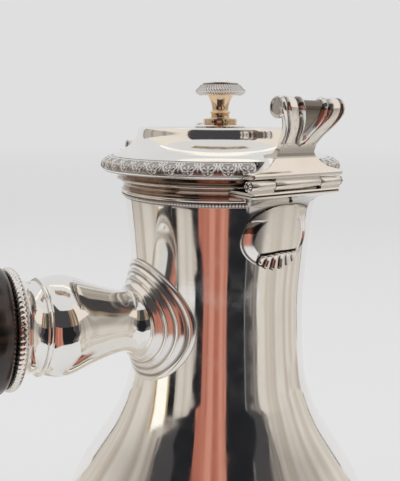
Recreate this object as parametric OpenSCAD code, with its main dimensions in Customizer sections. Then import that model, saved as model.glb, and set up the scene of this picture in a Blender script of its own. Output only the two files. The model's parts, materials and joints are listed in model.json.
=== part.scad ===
// Chocolate pot: pear-shaped silver body, hinged lid, covered beak spout and turned side handle.
// Units are millimetres and +Z is up.
// The origin is the centre of the foot on the axis of the body.
// The lid hinge stands at -Y, the spout at +Y and the handle points along -X.

/* [Body] */
// Height of the mouth rim above the table
rim_height = 166.6; // [164.6:0.2:168.6]
// Radius of the body at its widest
belly_radius = 55.2; // [52:0.2:58]
// Height of the widest place
belly_height = 40; // [37:0.5:43]
// Radius of the body at the waist of the neck
waist_radius = 28.5; // [28:0.1:29]
// Height of the waist
waist_height = 123.4; // [120:0.2:126]
// Thickness of the silver sheet
wall = 1.2; // [1:0.05:1.3]
// Height of the foot ring
foot_height = 5; // [4:0.1:6]
// Outer radius of the foot ring
foot_radius = 39.5; // [38.5:0.1:42]

/* [Rim and collar] */
// Outer radius of the straight band under the mouth
mouth_radius = 30.6; // [30.2:0.1:30.9]
// How far the ridge of the collar stands out from the band
ridge_rise = 2.5; // [2:0.1:2.8]
// Radius of the bead wire section
bead_wire_radius = 0.75; // [0.6:0.05:0.9]

/* [Lid] */
// Radius of the drum on top of the lid
drum_radius = 25.8; // [24.5:0.1:26.4]
// Height of the drum top above the mouth rim
lid_height = 13.4; // [13:0.1:14.4]
// Largest radius of the lid border
border_radius = 38; // [37.6:0.1:38.6]
// Gap between the closed lid and the mouth rim
lid_gap = 0.3; // [0.2:0.05:0.4]
// Thickness of the lid sheet
lid_wall = 1.1; // [0.9:0.05:1.3]
// How deep the bezel of the lid reaches into the mouth
bezel_depth = 4.5; // [3:0.1:5]
// Play between the bezel and the mouth
bezel_play = 0.8; // [0.7:0.05:1]

/* [Stirrer hole and finial] */
// Radius of the hole for the stirring rod
stirrer_hole_radius = 6.2; // [5.5:0.1:6.6]
// Radius of the swinging cover plate
cover_radius = 8.6; // [8.2:0.1:9]
// Thickness of the cover plate
cover_thickness = 0.9; // [0.7:0.05:1.1]
// Distance of the cover rivet from the lid axis
cover_pivot = 11.5; // [11:0.1:12]
// Height of the finial above its cover plate
finial_height = 13.7; // [12.5:0.1:15]
// Largest radius of the finial cap
finial_radius = 7.9; // [7:0.1:8.4]

/* [Lid hinge] */
// Distance of the hinge axis from the axis of the body
hinge_reach = 36; // [35.9:0.05:36.2]
// How far the hinge axis lies below the mouth rim
hinge_drop = 1.1; // [1:0.05:1.2]
// Half of the hinge length
hinge_half = 16.2; // [15.5:0.1:16.4]
// Half of the length of the middle knuckle
knuckle_half = 8.2; // [7:0.1:9]
// Radius of the knuckles
knuckle_radius = 1.45; // [1.35:0.05:1.45]
// Radius of the hinge pin
pin_radius = 0.8; // [0.6:0.05:0.9]
// Running clearance around the hinge pin
pin_play = 0.05; // [0.02:0.01:0.08]
// Gap between neighbouring knuckles
knuckle_gap = 0.2; // [0.1:0.05:0.3]

/* [Thumbpiece] */
// Height of the thumbpiece above the hinge plate
thumb_height = 12.9; // [12:0.1:14]
// Half of the width of the thumbpiece at its roll
thumb_half = 11.9; // [11:0.1:13]
// Half of the width of the thumbpiece at its waist
thumb_waist = 6.3; // [5.8:0.1:7]
// Radius of the rolled top
roll_radius = 2.5; // [2.3:0.1:2.7]
// Depth of the flutes between the lobes of the thumbpiece
flute_depth = 0.6; // [0.3:0.05:0.8]

/* [Hinge plaque] */
// Half of the width of the plaque under the hinge
plaque_half = 12.3; // [11:0.1:13]
// Half of the height of the plaque
plaque_rise = 8.8; // [8:0.1:9]
// Thickness of the plaque
plaque_thickness = 0.9; // [0.6:0.05:1.2]

/* [Spout] */
// How far the spout reaches from the axis of the body
spout_reach = 68.6; // [66.5:0.1:70.5]
// Half of the width of the spout where it meets the neck
spout_half = 12.5; // [11.5:0.1:13]
// Half of the width of the spout at its tip
spout_tip_half = 4.6; // [4.2:0.1:5]
// Thickness of the spout sheet
spout_wall = 1; // [0.9:0.05:1.1]
// Radius of the lifting scroll on the flap
flap_scroll_radius = 2.3; // [2:0.1:2.5]

/* [Handle] */
// Height of the handle plate centre
handle_height = 121; // [119.5:0.1:122.5]
// Upward tilt of the handle in degrees
handle_tilt = 7.5; // [6:0.5:9.5]
// Radius of the stepped handle plate
plate_radius = 19.2; // [18.2:0.1:20.2]
// Radius of the socket neck
socket_neck = 9.4; // [9:0.1:9.8]
// Radius of the socket at its belly
socket_belly = 14.5; // [13.8:0.1:15]
// Length of the socket from the face of the neck
socket_length = 42.6; // [41.5:0.1:44]
// Outer radius of the rope-edged ring
rope_radius = 16.8; // [16.2:0.1:17]
// Radius of the spigot that holds the wooden handle
spigot_radius = 8.2; // [7.8:0.1:8.4]
// Clearance around the spigot
spigot_play = 0.05; // [0.02:0.01:0.1]
// Length of the wooden handle outside its socket
grip_length = 92; // [84:1:100]
// Largest radius of the wooden handle
grip_radius = 17.4; // [16.9:0.1:18]

/* [Hidden] */

silver = [0.84, 0.84, 0.83];
bright = [0.9, 0.9, 0.88];
wood = [0.12, 0.08, 0.06];

round_steps = 96;
small_steps = 48;
eps = 0.01;

// Smooth curve through a short list of points, with n steps between neighbours
function curve_point(a, b, c, d, u) =
  0.5 * (2 * b + (c - a) * u + (2 * a - 5 * b + 4 * c - d) * u * u
  + (3 * b - a - 3 * c + d) * u * u * u);
function smooth(pts, n) = concat(
  [for (i = [0:len(pts) - 2]) for (j = [0:n - 1])
    curve_point(pts[max(i - 1, 0)], pts[i], pts[i + 1], pts[min(i + 2, len(pts) - 1)], j / n)],
  [pts[len(pts) - 1]]);
function backwards(pts) = [for (i = [len(pts) - 1:-1:0]) pts[i]];
function mirrored(pts) = concat(pts, [for (i = [len(pts) - 1:-1:0]) [-pts[i][0], pts[i][1]]]);
function away(pts, i) = let (
  a = pts[max(i - 1, 0)],
  b = pts[min(i + 1, len(pts) - 1)],
  d = b - a,
  m = norm(d)
) [d[1] / m, -d[0] / m];
// Every point of a curve moved sideways by d
function shifted(pts, d) = [for (i = [0:len(pts) - 1]) pts[i] + d * away(pts, i)];
function ring_of(rx, ry, n) = [for (i = [0:n - 1]) [rx * cos(360 * i / n), ry * sin(360 * i / n)]];
function ribbed(r, d, n) = [for (i = [0:2 * n - 1]) let (q = r - (i % 2) * d)
  [q * cos(180 * i / n), q * sin(180 * i / n)]];

// Outline of the body, as radius and height, from the foot up to the straight band
band_low = rim_height - 8.1;
base_radius = foot_radius - 3;
swell = belly_radius - waist_radius;
fall = waist_height - belly_height;
lower_pts = [
  [base_radius, foot_height],
  [base_radius + 0.42 * (belly_radius - base_radius), foot_height + 0.13 * (belly_height - foot_height)],
  [base_radius + 0.72 * (belly_radius - base_radius), foot_height + 0.33 * (belly_height - foot_height)],
  [base_radius + 0.92 * (belly_radius - base_radius), foot_height + 0.62 * (belly_height - foot_height)],
  [belly_radius, belly_height]
];
upper_pts = [
  [waist_radius + 0.94 * swell, belly_height + 0.12 * fall],
  [waist_radius + 0.829 * swell, belly_height + 0.21 * fall],
  [waist_radius + 0.607 * swell, belly_height + 0.326 * fall],
  [waist_radius + 0.3 * swell, belly_height + 0.486 * fall],
  [waist_radius + 0.125 * swell, belly_height + 0.625 * fall],
  [waist_radius + 0.05 * swell, belly_height + 0.745 * fall]
];
neck_pts = [
  [waist_radius, waist_height],
  [waist_radius + 0.35 * (mouth_radius - waist_radius), waist_height + 0.5 * (band_low - waist_height)],
  [mouth_radius, band_low]
];
outline = smooth(concat(lower_pts, upper_pts, neck_pts), 4);
heights = [for (p = outline) [p[1], p[0]]];
function skin(z) = lookup(z, heights);

// Hinge, lid and cover levels
hinge_z = rim_height - hinge_drop;
lid_low = rim_height + lid_gap;
lid_top = rim_height + lid_height;
shoulder_z = lid_top - 8.6;
seat_radius = border_radius - 4;
lip_low = lid_low + 0.4;
lip_high = lip_low + 1.3;
plate_top = lip_high + 6.3;
cover_z = lid_top + 0.05;
bracket_top = rim_height - 2.9;
bracket_lip = bracket_top - 1.4;
mouth_inner = mouth_radius - wall;
window_half = 0.53 * spout_half;
window_high = rim_height - 0.54 * mouth_radius;
window_low = window_high - 0.62 * mouth_radius;

// Lengths that run well past the pieces they cut or carry
side_span = 2.5 * hinge_half;
front_span = 0.9 * hinge_reach;
spout_drop = 0.42 * rim_height;
spout_run = 1.4 * spout_reach;
spout_wide = 3.2 * spout_half;

// The neck as a solid, grown by t
module neck_solid(t) {
  part_pts = [for (p = outline) if (p[1] > belly_height + 0.35 * fall) [p[0] + t, p[1]]];
  first = part_pts[0];
  last = part_pts[len(part_pts) - 1];
  rotate_extrude($fn = round_steps)
    polygon(concat([[0, first[1]]], part_pts, [[last[0], rim_height + 0.6], [0, rim_height + 0.6]]));
}

module along_x(r, x0, x1, y, z) {
  translate([x0, y, z])
    rotate([0, 90, 0])
      cylinder(r = r, h = x1 - x0, $fn = small_steps);
}

// Silver body, one raised shell with its floor; the neck is cut open behind the spout
module body() {
  inner = shifted(outline, -wall);
  inner_up = [for (p = inner) if (p[1] > foot_height + wall + 0.3) p];
  color(silver)
    difference() {
      rotate_extrude($fn = round_steps)
        polygon(concat(
          [[0, foot_height]], outline, [[mouth_radius, rim_height], [mouth_inner, rim_height]],
          backwards([for (p = inner_up) [p[1] > waist_height ? min(p[0], mouth_inner) : p[0], p[1]]]),
          [[base_radius - 1, foot_height + wall], [0, foot_height + wall]]));
      rotate([-90, 0, 0])
        translate([0, 0, 0.7 * waist_radius])
          linear_extrude(height = 0.7 * waist_radius)
            polygon([for (p = ring_of(window_half, window_half, 32))
              [p[0], p[1] + (p[1] > 0 ? -window_low : -window_high)]]);
    }
}

// Moulded foot ring soldered under the body; it is the resting face of the pot
module foot_ring() {
  f = foot_height / 5;
  side = [
    [foot_radius, 0], [foot_radius, 1.5 * f], [foot_radius - 0.5, 2.1 * f],
    [foot_radius - 1.5, 2.5 * f], [foot_radius - 2.3, 3.3 * f], [foot_radius - 2.8, 4.2 * f],
    [base_radius - 0.05, foot_height]
  ];
  color(silver)
    rotate_extrude($fn = round_steps)
      polygon(concat(
        side, [[base_radius - 2, foot_height], [base_radius - 3, 3 * f], [base_radius - 3, 0]]));
}

// Room in the mouldings round the neck for the lip of the hinge bracket
module bracket_room() {
  translate([-hinge_half - 0.05, -1.4 * hinge_reach, band_low])
    cube([2 * hinge_half + 0.1, 0.85 * hinge_reach, bracket_top + 0.05 - band_low]);
}

// Moulded collar under the mouth: a ridge, a cove and a plain fillet
module neck_collar() {
  m = mouth_radius;
  z = rim_height;
  side = [
    [m, z - 6.45], [m + 1, z - 6.45], [m + 1.15, z - 6], [m + 1, z - 5.55], [m + 0.55, z - 5],
    [m + 0.45, z - 4.2], [m + 0.8, z - 3.4], [m + 0.7 * ridge_rise, z - 2.75],
    [m + ridge_rise, z - 2.35], [m + ridge_rise, z - 1.95], [m + 0.8 * ridge_rise, z - 1.6],
    [m + 1.1, z - 1.35], [m + 1, z - 0.8], [m + 1, z], [m, z]
  ];
  color(silver)
    difference() {
      rotate_extrude($fn = round_steps)
        polygon(side);
      spout_solid(-0.1);
      bracket_room();
    }
}

// Ring of fine beads under the collar
module bead_ring(grow) {
  r = bead_wire_radius;
  z = rim_height - 7.3;
  arc = [for (i = [0:12]) let (a = -75 + 150 * i / 12)
    [mouth_radius + 0.25 * r + (r + grow) * cos(a), z + (r + grow) * sin(a)]];
  rotate_extrude($fn = round_steps)
    polygon(concat([[mouth_radius - grow, arc[0][1]]], arc, [[mouth_radius - grow, arc[12][1]]]));
}
module bead_wire() {
  color(bright)
    difference() {
      bead_ring(0);
      spout_solid(-0.1);
    }
}

// Beak of the spout: flat top, tapering plan and keeled section, each drawn in by w
spout_top = rim_height - 0.3;
top_start = 38.5;
top_slope = 0.098;
flap_axis = spout_reach - 11.6;
keel_foot = [0.91 * waist_radius, rim_height - 1.86 * mouth_radius];
keel_tip = [spout_reach - 0.6, rim_height + 0.8];
keel_angle = atan2(keel_tip[1] - keel_foot[1], keel_tip[0] - keel_foot[0]);
function top_at(y) = spout_top + max(0, y - top_start) * top_slope;
module spout_side(w) {
  polygon([
    [0.7 * waist_radius, rim_height - spout_drop], [0.7 * waist_radius, spout_top - w],
    [top_start, spout_top - w],
    [spout_reach - 1.2, top_at(spout_reach - 1.2) - w], [spout_reach - 0.3, top_at(spout_reach) - w - 0.7],
    [spout_reach, top_at(spout_reach) - w - 1.6], [spout_reach, rim_height - spout_drop]
  ]);
}
module spout_plan(w) {
  half = smooth([
    [spout_half, 20], [spout_half - 1.2, 32], [0.45 * spout_half + 3.6, 40],
    [0.5 * (spout_tip_half + 9.8), 48], [spout_tip_half + 1.1, flap_axis],
    [spout_tip_half, spout_reach - 4.5], [0.72 * spout_tip_half, spout_reach - 1.2],
    [0.3 * spout_tip_half, spout_reach]
  ], 3);
  polygon(mirrored([for (p = half) [max(p[0] - w, 0.15), p[1] - (p[1] > 60 ? w : 0)]]));
}
module spout_keel(w) {
  side = [[0.9, 0], [2.8, 0.9], [5, 2.8], [7.4, 5.6], [9.6, 9], [11.4, 13], [12.8, 18], [13.4, 60]];
  polygon(mirrored([for (p = side) [max(p[0] - 0.9 * w, 0.3), p[1] + 0.9 * w]]));
}
module spout_solid(w) {
  intersection() {
    rotate([90, 0, 90])
      translate([0, 0, -spout_wide / 2])
        linear_extrude(height = spout_wide)
          spout_side(w);
    translate([0, 0, rim_height - spout_drop])
      linear_extrude(height = 1.2 * spout_drop)
        spout_plan(w);
    translate([0, keel_foot[0], keel_foot[1]])
      rotate([90 + keel_angle, 0, 0])
        translate([0, 0, -spout_run])
          linear_extrude(height = 1.2 * spout_run)
            spout_keel(w);
  }
}

// Turns its children to the slope of the spout top, with the origin on the flap hinge
flap_barrel = 0.9;
flap_pin_radius = 0.45;
module at_flap() {
  translate([0, flap_axis, top_at(flap_axis) + flap_barrel])
    rotate([atan(top_slope), 0, 0])
      children();
}

// Beak spout of sheet silver, open into the neck, with two small knuckles for its flap
module spout() {
  color(silver)
    difference() {
      union() {
        difference() {
          spout_solid(0);
          spout_solid(spout_wall);
          translate([-spout_tip_half + 1.1, flap_axis + 1.4, spout_top - 2])
            cube([2 * spout_tip_half - 2.2, spout_reach - flap_axis - 4, 8]);
        }
        at_flap() {
          for (s = [-1, 1]) {
            along_x(flap_barrel, s > 0 ? 1.9 : -4.2, s > 0 ? 4.2 : -1.9, 0, 0);
            translate([s > 0 ? 1.9 : -4.2, -flap_barrel, -flap_barrel - 0.6])
              cube([2.3, 2 * flap_barrel, flap_barrel + 0.2]);
          }
        }
      }
      at_flap()
        along_x(flap_pin_radius, -6, 6, 0, 0);
      neck_solid(0);
    }
}

// Small flap over the tip of the spout, with a rolled scroll to lift it by
module spout_flap() {
  low = 0.12 - flap_barrel;
  over = flap_axis + 1.7;
  color(silver)
    difference() {
      at_flap() {
        difference() {
          union() {
            translate([0, 0, low])
              linear_extrude(height = 0.9)
                intersection() {
                  translate([0, -flap_axis])
                    spout_plan(-0.4);
                  translate([-10, over - flap_axis])
                    square([20, 30]);
                }
            along_x(flap_barrel, -1.7, 1.7, 0, 0);
            translate([-1.7, 0, low])
              cube([3.4, 2.4, 0.9]);
            along_x(flap_scroll_radius, -2, 2, 6.6, low + 0.7 + flap_scroll_radius);
          }
          along_x(flap_scroll_radius - 1, -4, 4, 6.6, low + 0.7 + flap_scroll_radius);
        }
      }
      at_flap()
        along_x(flap_pin_radius + pin_play, -6, 6, 0, 0);
    }
}

// Pin of the flap hinge
module flap_pin() {
  color(bright)
    at_flap()
      along_x(flap_pin_radius, -4.4, 4.4, 0, 0);
}

// Bracket of the lid hinge on the neck: lip, hollow underside with an arch, and two knuckles
module hinge_bracket() {
  y0 = -hinge_reach;
  z1 = bracket_lip;
  side = [
    [-hinge_reach - 1.1, bracket_top], [-hinge_reach - 1.5, bracket_top - 0.35],
    [-hinge_reach - 1.4, bracket_top - 0.6], [-hinge_reach - 0.9, bracket_top - 0.8],
    [-hinge_reach - 1.4, bracket_top - 1], [-hinge_reach - 1.2, z1], [-hinge_reach + 0.2, z1 - 0.5], [-hinge_reach + 1.6, z1 - 1.2],
    [-hinge_reach + 2.9, z1 - 2.4], [-hinge_reach + 3.8, z1 - 3.9], [-hinge_reach + 4.3, z1 - 5.4],
    [-26, z1 - 5.4], [-26, bracket_top]
  ];
  wide = hinge_half - 0.2;
  front = [
    [wide, bracket_top], [wide, z1 + 0.2], [wide - 1.2, z1 - 0.5], [wide - 3, z1 - 1.2],
    [wide - 3.8, z1 - 2.1], [wide - 4.2, z1 - 3.4], [wide - 4.4, z1 - 5.3], [wide - 7, z1 - 4.5],
    [wide - 10, z1 - 3.6], [wide - 13, z1 - 3.1]
  ];
  color(silver)
    difference() {
      union() {
        intersection() {
          rotate([90, 0, 90])
            translate([0, 0, -side_span / 2])
              linear_extrude(height = side_span)
                polygon(side);
          translate([0, -0.6 * waist_radius, 0])
            rotate([90, 0, 0])
              linear_extrude(height = front_span)
                polygon(mirrored(front));
          rotate_extrude($fn = round_steps)
            polygon([
              [0, z1 - 5.5], [hinge_reach - 4.2, z1 - 5.5], [hinge_reach - 3.6, z1 - 3.8],
              [hinge_reach - 2.4, z1 - 2.4], [hinge_reach, z1 - 1.4], [hinge_reach + 5.5, z1 - 0.5],
              [hinge_reach + 5.5, bracket_top], [0, bracket_top]
            ]);
        }
        for (s = [-1, 1]) {
          x0 = s > 0 ? knuckle_half + knuckle_gap : -hinge_half;
          long = hinge_half - knuckle_half - knuckle_gap;
          along_x(knuckle_radius, x0, x0 + long, y0, hinge_z);
          translate([x0 + 0.2, y0 - 0.9, bracket_top - 0.3])
            cube([long - 0.4, 1.8, hinge_z - bracket_top + 0.3]);
        }
        translate([0, y0 + 3, z1 - 1.9])
          rotate([90, 0, 0])
            cylinder(r = 0.55, h = 0.8, $fn = small_steps);
      }
      along_x(pin_radius, -side_span / 2, side_span / 2, y0, hinge_z);
      neck_solid(0);
      bead_ring(0.05);
    }
}

// Pin of the lid hinge with a domed head at each end
module hinge_pin() {
  color(bright)
    translate([-hinge_half - 1, -hinge_reach, hinge_z])
      rotate([0, 90, 0])
        rotate_extrude($fn = small_steps)
          polygon([
            [0, 0], [0.8, 0.1], [1.2, 0.4], [1.35, 0.95], [pin_radius, 0.95],
            [pin_radius, 2 * hinge_half + 1.05], [1.35, 2 * hinge_half + 1.05],
            [1.2, 2 * hinge_half + 1.6], [0.8, 2 * hinge_half + 1.9], [0, 2 * hinge_half + 2]
          ]);
}

// Oval plaque with a shell, laid round the neck under the hinge
module plaque_oval(inset, t) {
  intersection() {
    neck_solid(t);
    translate([0, -0.3 * waist_radius, rim_height - 17.6])
      rotate([90, 0, 0])
        linear_extrude(height = 1.3 * waist_radius)
          polygon(ring_of(plaque_half - inset, plaque_rise - inset, 64));
  }
}
module hinge_plaque() {
  z = rim_height - 17.6;
  fingers = concat(
    [[plaque_half - 4.6, -3.4]],
    [for (i = [0:40]) let (a = -20 - 140 * i / 40, k = 1 + 0.05 * cos(5 * (a + 90) * 360 / 140))
      [0.8 * plaque_half * k * cos(a), plaque_rise * 0.97 * k * sin(a)]],
    [[4.6 - plaque_half, -3.4], [-plaque_half * 0.3, -2.9], [plaque_half * 0.3, -2.9]]);
  color(silver)
    difference() {
      union() {
        difference() {
          plaque_oval(0, plaque_thickness);
          plaque_oval(0.9, plaque_thickness + 1);
        }
        plaque_oval(0.4, 0.45 * plaque_thickness);
        plaque_oval(1.4, 0.8 * plaque_thickness);
        plaque_oval(2.6, plaque_thickness);
        difference() {
          intersection() {
            neck_solid(plaque_thickness + 0.7);
            translate([0, -0.3 * waist_radius, z])
              rotate([90, 0, 0])
                linear_extrude(height = 1.3 * waist_radius)
                  polygon(fingers);
          }
          for (i = [-1.5:1:1.5]) {
            difference() {
              translate([2.5 * i, 0, z - 3.6])
                rotate([90, 7 * i, 0])
                  translate([-0.3, -7, 0])
                    cube([0.6, 6.6, 2 * waist_radius]);
              neck_solid(plaque_thickness);
            }
          }
        }
      }
      neck_solid(0);
    }
}

// Stepped round plate that carries the handle, with a flat boss for the socket
plate_steps = [[0, 1], [2.6, 1.9], [5.4, 3.1]];
boss_face = 4.6;
module handle_plate() {
  color(silver)
    difference() {
      union() {
        at_handle()
          translate([0, 0, -3])
            cylinder(r = socket_neck + 2, h = boss_face + 3, $fn = round_steps);
        for (s = plate_steps) {
          intersection() {
            neck_solid(s[1]);
            translate([-0.3 * waist_radius, 0, handle_height])
              rotate([0, -90, 0])
                cylinder(r = plate_radius - s[0], h = 1.3 * waist_radius, $fn = round_steps);
          }
        }
      }
      neck_solid(0);
    }
}

// Turns its children so that +Z runs out along the handle from the face of the neck
module at_handle() {
  translate([-skin(handle_height), 0, handle_height])
    rotate([0, handle_tilt - 90, 0])
      children();
}

// Raised baluster socket of the handle, bored for the spigot of the wooden grip
socket_end = socket_length;
cup_radius = 0.875 * socket_belly;
pin_place = socket_end - 3.2;
bore_low = 0.47 * socket_end;
module handle_socket() {
  side = smooth([
    [socket_neck + 0.9, boss_face], [socket_neck, 6.8], [socket_neck + 0.2, 9.5],
    [socket_neck + 1.2, 0.33 * socket_end],
    [socket_neck + 0.6 * (socket_belly - socket_neck), 0.47 * socket_end],
    [socket_belly - 0.3, 0.61 * socket_end], [socket_belly, 0.705 * socket_end],
    [socket_belly - 0.9, 0.8 * socket_end], [cup_radius, socket_end - 7]
  ], 4);
  end = [
    [cup_radius + 0.8, socket_end - 6.7], [cup_radius + 0.8, socket_end - 5.9],
    [cup_radius + 0.2, socket_end - 5.6], [cup_radius, socket_end - 4],
    [cup_radius + 0.4, socket_end - 2.2], [cup_radius + 1.2, socket_end - 1],
    [cup_radius + 1.7, socket_end]
  ];
  color(silver)
    at_handle()
      difference() {
        rotate_extrude($fn = round_steps)
          polygon(concat([[0, boss_face]], side, end,
            [[spigot_radius + spigot_play, socket_end], [spigot_radius + spigot_play, bore_low],
            [0, bore_low]]));
        translate([0, 0, pin_place])
          rotate([0, 90, 0])
            cylinder(r = grip_pin_radius, h = 3 * socket_belly, center = true, $fn = small_steps);
      }
}

// Rope-edged ring round the end of the socket
ring_end = socket_end + 2.8;
ring_bore = 0.71 * rope_radius;
module rope_ring() {
  color(bright)
    at_handle()
      difference() {
        union() {
          rotate_extrude($fn = round_steps)
            polygon([
              [ring_bore, socket_end], [rope_radius - 2, socket_end], [rope_radius - 0.7, socket_end + 0.4],
              [rope_radius - 0.4, socket_end + 1], [rope_radius - 0.4, socket_end + 1.8],
              [rope_radius - 0.7, ring_end - 0.3], [rope_radius - 1.4, ring_end], [ring_bore, ring_end]
            ]);
          translate([0, 0, socket_end + 0.7])
            linear_extrude(height = 1.4)
              polygon(ribbed(rope_radius, 0.45, 64));
        }
        translate([0, 0, socket_end - 1])
          cylinder(r = ring_bore, h = 5, $fn = round_steps);
      }
}

// Turned wooden handle with its spigot
grip_pin_radius = 0.8;
module wooden_handle() {
  g = grip_length;
  k = grip_radius;
  side = smooth([
    [0.897 * k, ring_end + 0.05], [0.99 * k, ring_end + 0.022 * g], [k, ring_end + 0.048 * g],
    [0.92 * k, ring_end + 0.092 * g], [0.736 * k, ring_end + 0.141 * g], [0.6 * k, ring_end + 0.196 * g],
    [0.53 * k, ring_end + 0.27 * g], [0.563 * k, ring_end + 0.42 * g], [0.638 * k, ring_end + 0.58 * g],
    [0.65 * k, ring_end + 0.7 * g], [0.58 * k, ring_end + 0.81 * g], [0.483 * k, ring_end + 0.865 * g]
  ], 4);
  knob = smooth([
    [0.54 * k, ring_end + 0.88 * g], [0.632 * k, ring_end + 0.915 * g], [0.638 * k, ring_end + 0.95 * g],
    [0.54 * k, ring_end + 0.98 * g], [0.31 * k, ring_end + 0.996 * g], [0.02 * k, ring_end + g]
  ], 4);
  color(wood)
    at_handle()
      difference() {
        rotate_extrude($fn = round_steps)
          polygon(concat(
            [[0, bore_low + 0.5], [spigot_radius, bore_low + 0.5], [spigot_radius, socket_end + 0.1],
            [ring_bore - 0.05, socket_end + 0.1], [ring_bore - 0.05, ring_end + 0.05]],
            side, knob, [[0, ring_end + g]]));
        translate([0, 0, pin_place])
          rotate([0, 90, 0])
            cylinder(r = grip_pin_radius, h = 3 * socket_belly, center = true, $fn = small_steps);
      }
}

// Cross pin through the end of the socket and the spigot
module handle_pin() {
  color(bright)
    at_handle()
      translate([0, 0, pin_place])
        rotate([0, 90, 0])
          cylinder(r = grip_pin_radius, h = 2 * cup_radius + 0.8, center = true, $fn = small_steps);
}

// Outline of the lid sheet from its seat up to the drum top
lid_side = smooth([
  [seat_radius, shoulder_z], [seat_radius - 1.2, shoulder_z + 0.7], [seat_radius - 2.8, shoulder_z + 1.55],
  [seat_radius - 4.7, shoulder_z + 2.7], [seat_radius - 6.2, shoulder_z + 4],
  [drum_radius + 0.9, shoulder_z + 5.6], [drum_radius + 0.25, lid_top - 0.7], [drum_radius - 0.5, lid_top]
], 3);

// Space above the lid sheet that the parts standing on it may fill
module lid_solid() {
  rotate_extrude($fn = round_steps)
    polygon(concat([[0, lid_low - 1], [seat_radius, lid_low - 1]], lid_side, [[0, lid_top]]));
}

// Sheet of the lid: sloping shoulder, drum and flat top with the hole for the stirring rod
module lid_shell() {
  inner = shifted(lid_side, -lid_wall);
  inside = [for (p = inner) if (p[1] < lid_top - lid_wall - 0.4) [p[0], max(p[1], shoulder_z - lid_wall)]];
  color(silver)
    difference() {
      rotate_extrude($fn = round_steps)
        polygon(concat(
          [[seat_radius, shoulder_z - lid_wall]], lid_side,
          [[stirrer_hole_radius, lid_top], [stirrer_hole_radius, lid_top - lid_wall],
          [drum_radius - 1.3 - lid_wall, lid_top - lid_wall]],
          backwards(inside)));
      translate([0, cover_pivot, lid_top - 5])
        cylinder(r = rivet_radius, h = 10, $fn = small_steps);
    }
}

// Cast border of the lid; its leaf ornament is in the visual model
module lid_border() {
  b = border_radius;
  z = lid_low;
  side = smooth([
    [b - 2.9, z], [b - 2.1, z + 0.1], [b - 0.9, z + 0.5], [b - 0.15, z + 1.2], [b, z + 1.9],
    [b - 0.4, z + 2.9], [b - 1.3, z + 3.6], [b - 2.4, z + 4.1], [b - 3.3, z + 4.3]
  ], 2);
  color(bright)
    difference() {
      rotate_extrude($fn = round_steps)
        polygon(concat([[seat_radius, z]], side, [[seat_radius, z + 4.3]]));
      translate([-hinge_half - 0.2, -1.4 * border_radius, z - 1])
        cube([2 * hinge_half + 0.4, 1.4 * border_radius, lid_height]);
    }
}

// Bezel that holds the lid true in the mouth
module lid_bezel() {
  r = mouth_inner - bezel_play;
  color(silver)
    rotate_extrude($fn = round_steps)
      polygon([
        [r - 1, lid_low - bezel_depth], [r, lid_low - bezel_depth], [r, lid_low],
        [seat_radius, lid_low], [seat_radius, lid_low + 1], [r - 1, lid_low + 1]
      ]);
}

// Upper plate of the lid hinge: a lip, a hollow-sided rise and the middle knuckle
module hinge_plate() {
  y0 = -hinge_reach;
  side = [
    [y0 - 1.4, lip_low], [y0 - 1.7, lip_low + 0.6], [y0 - 1.5, lip_high], [y0 - 1.2, lip_high + 0.4],
    [y0 + 0.1, lip_high + 3.7], [y0 + 0.4, lip_high + 4.2], [y0 + 0.5, lip_high + 5.1],
    [y0, plate_top], [y0 + 1.6, plate_top], [y0 + 2.3, lip_high + 4.9], [y0 + 4.4, lip_high + 4.6],
    [y0 + 8, lip_high + 5.2], [y0 + 8, lip_low]
  ];
  wide = hinge_half + 0.2;
  front = [
    [wide, lip_low], [wide, lip_high], [wide - 2.9, lip_high + 0.6], [wide - 5.4, lip_high + 1.4],
    [wide - 7.4, lip_high + 2.6], [thumb_waist + 1.2, lip_high + 4],
    [thumb_waist + 0.3, lip_high + 5.4], [thumb_waist, plate_top]
  ];
  color(silver)
    difference() {
      union() {
        difference() {
          intersection() {
            rotate([90, 0, 90])
              translate([0, 0, -side_span / 2])
                linear_extrude(height = side_span)
                  polygon(side);
            translate([0, -0.6 * waist_radius, 0])
              rotate([90, 0, 0])
                linear_extrude(height = front_span)
                  polygon(mirrored(front));
          }
          lid_solid();
        }
        along_x(knuckle_radius, -knuckle_half, knuckle_half, y0, hinge_z);
        translate([-knuckle_half, y0 - 0.8, hinge_z])
          cube([2 * knuckle_half, 1.8, lip_low - hinge_z + 0.2]);
      }
      along_x(pin_radius + pin_play, -side_span / 2, side_span / 2, y0, hinge_z);
    }
}

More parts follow.
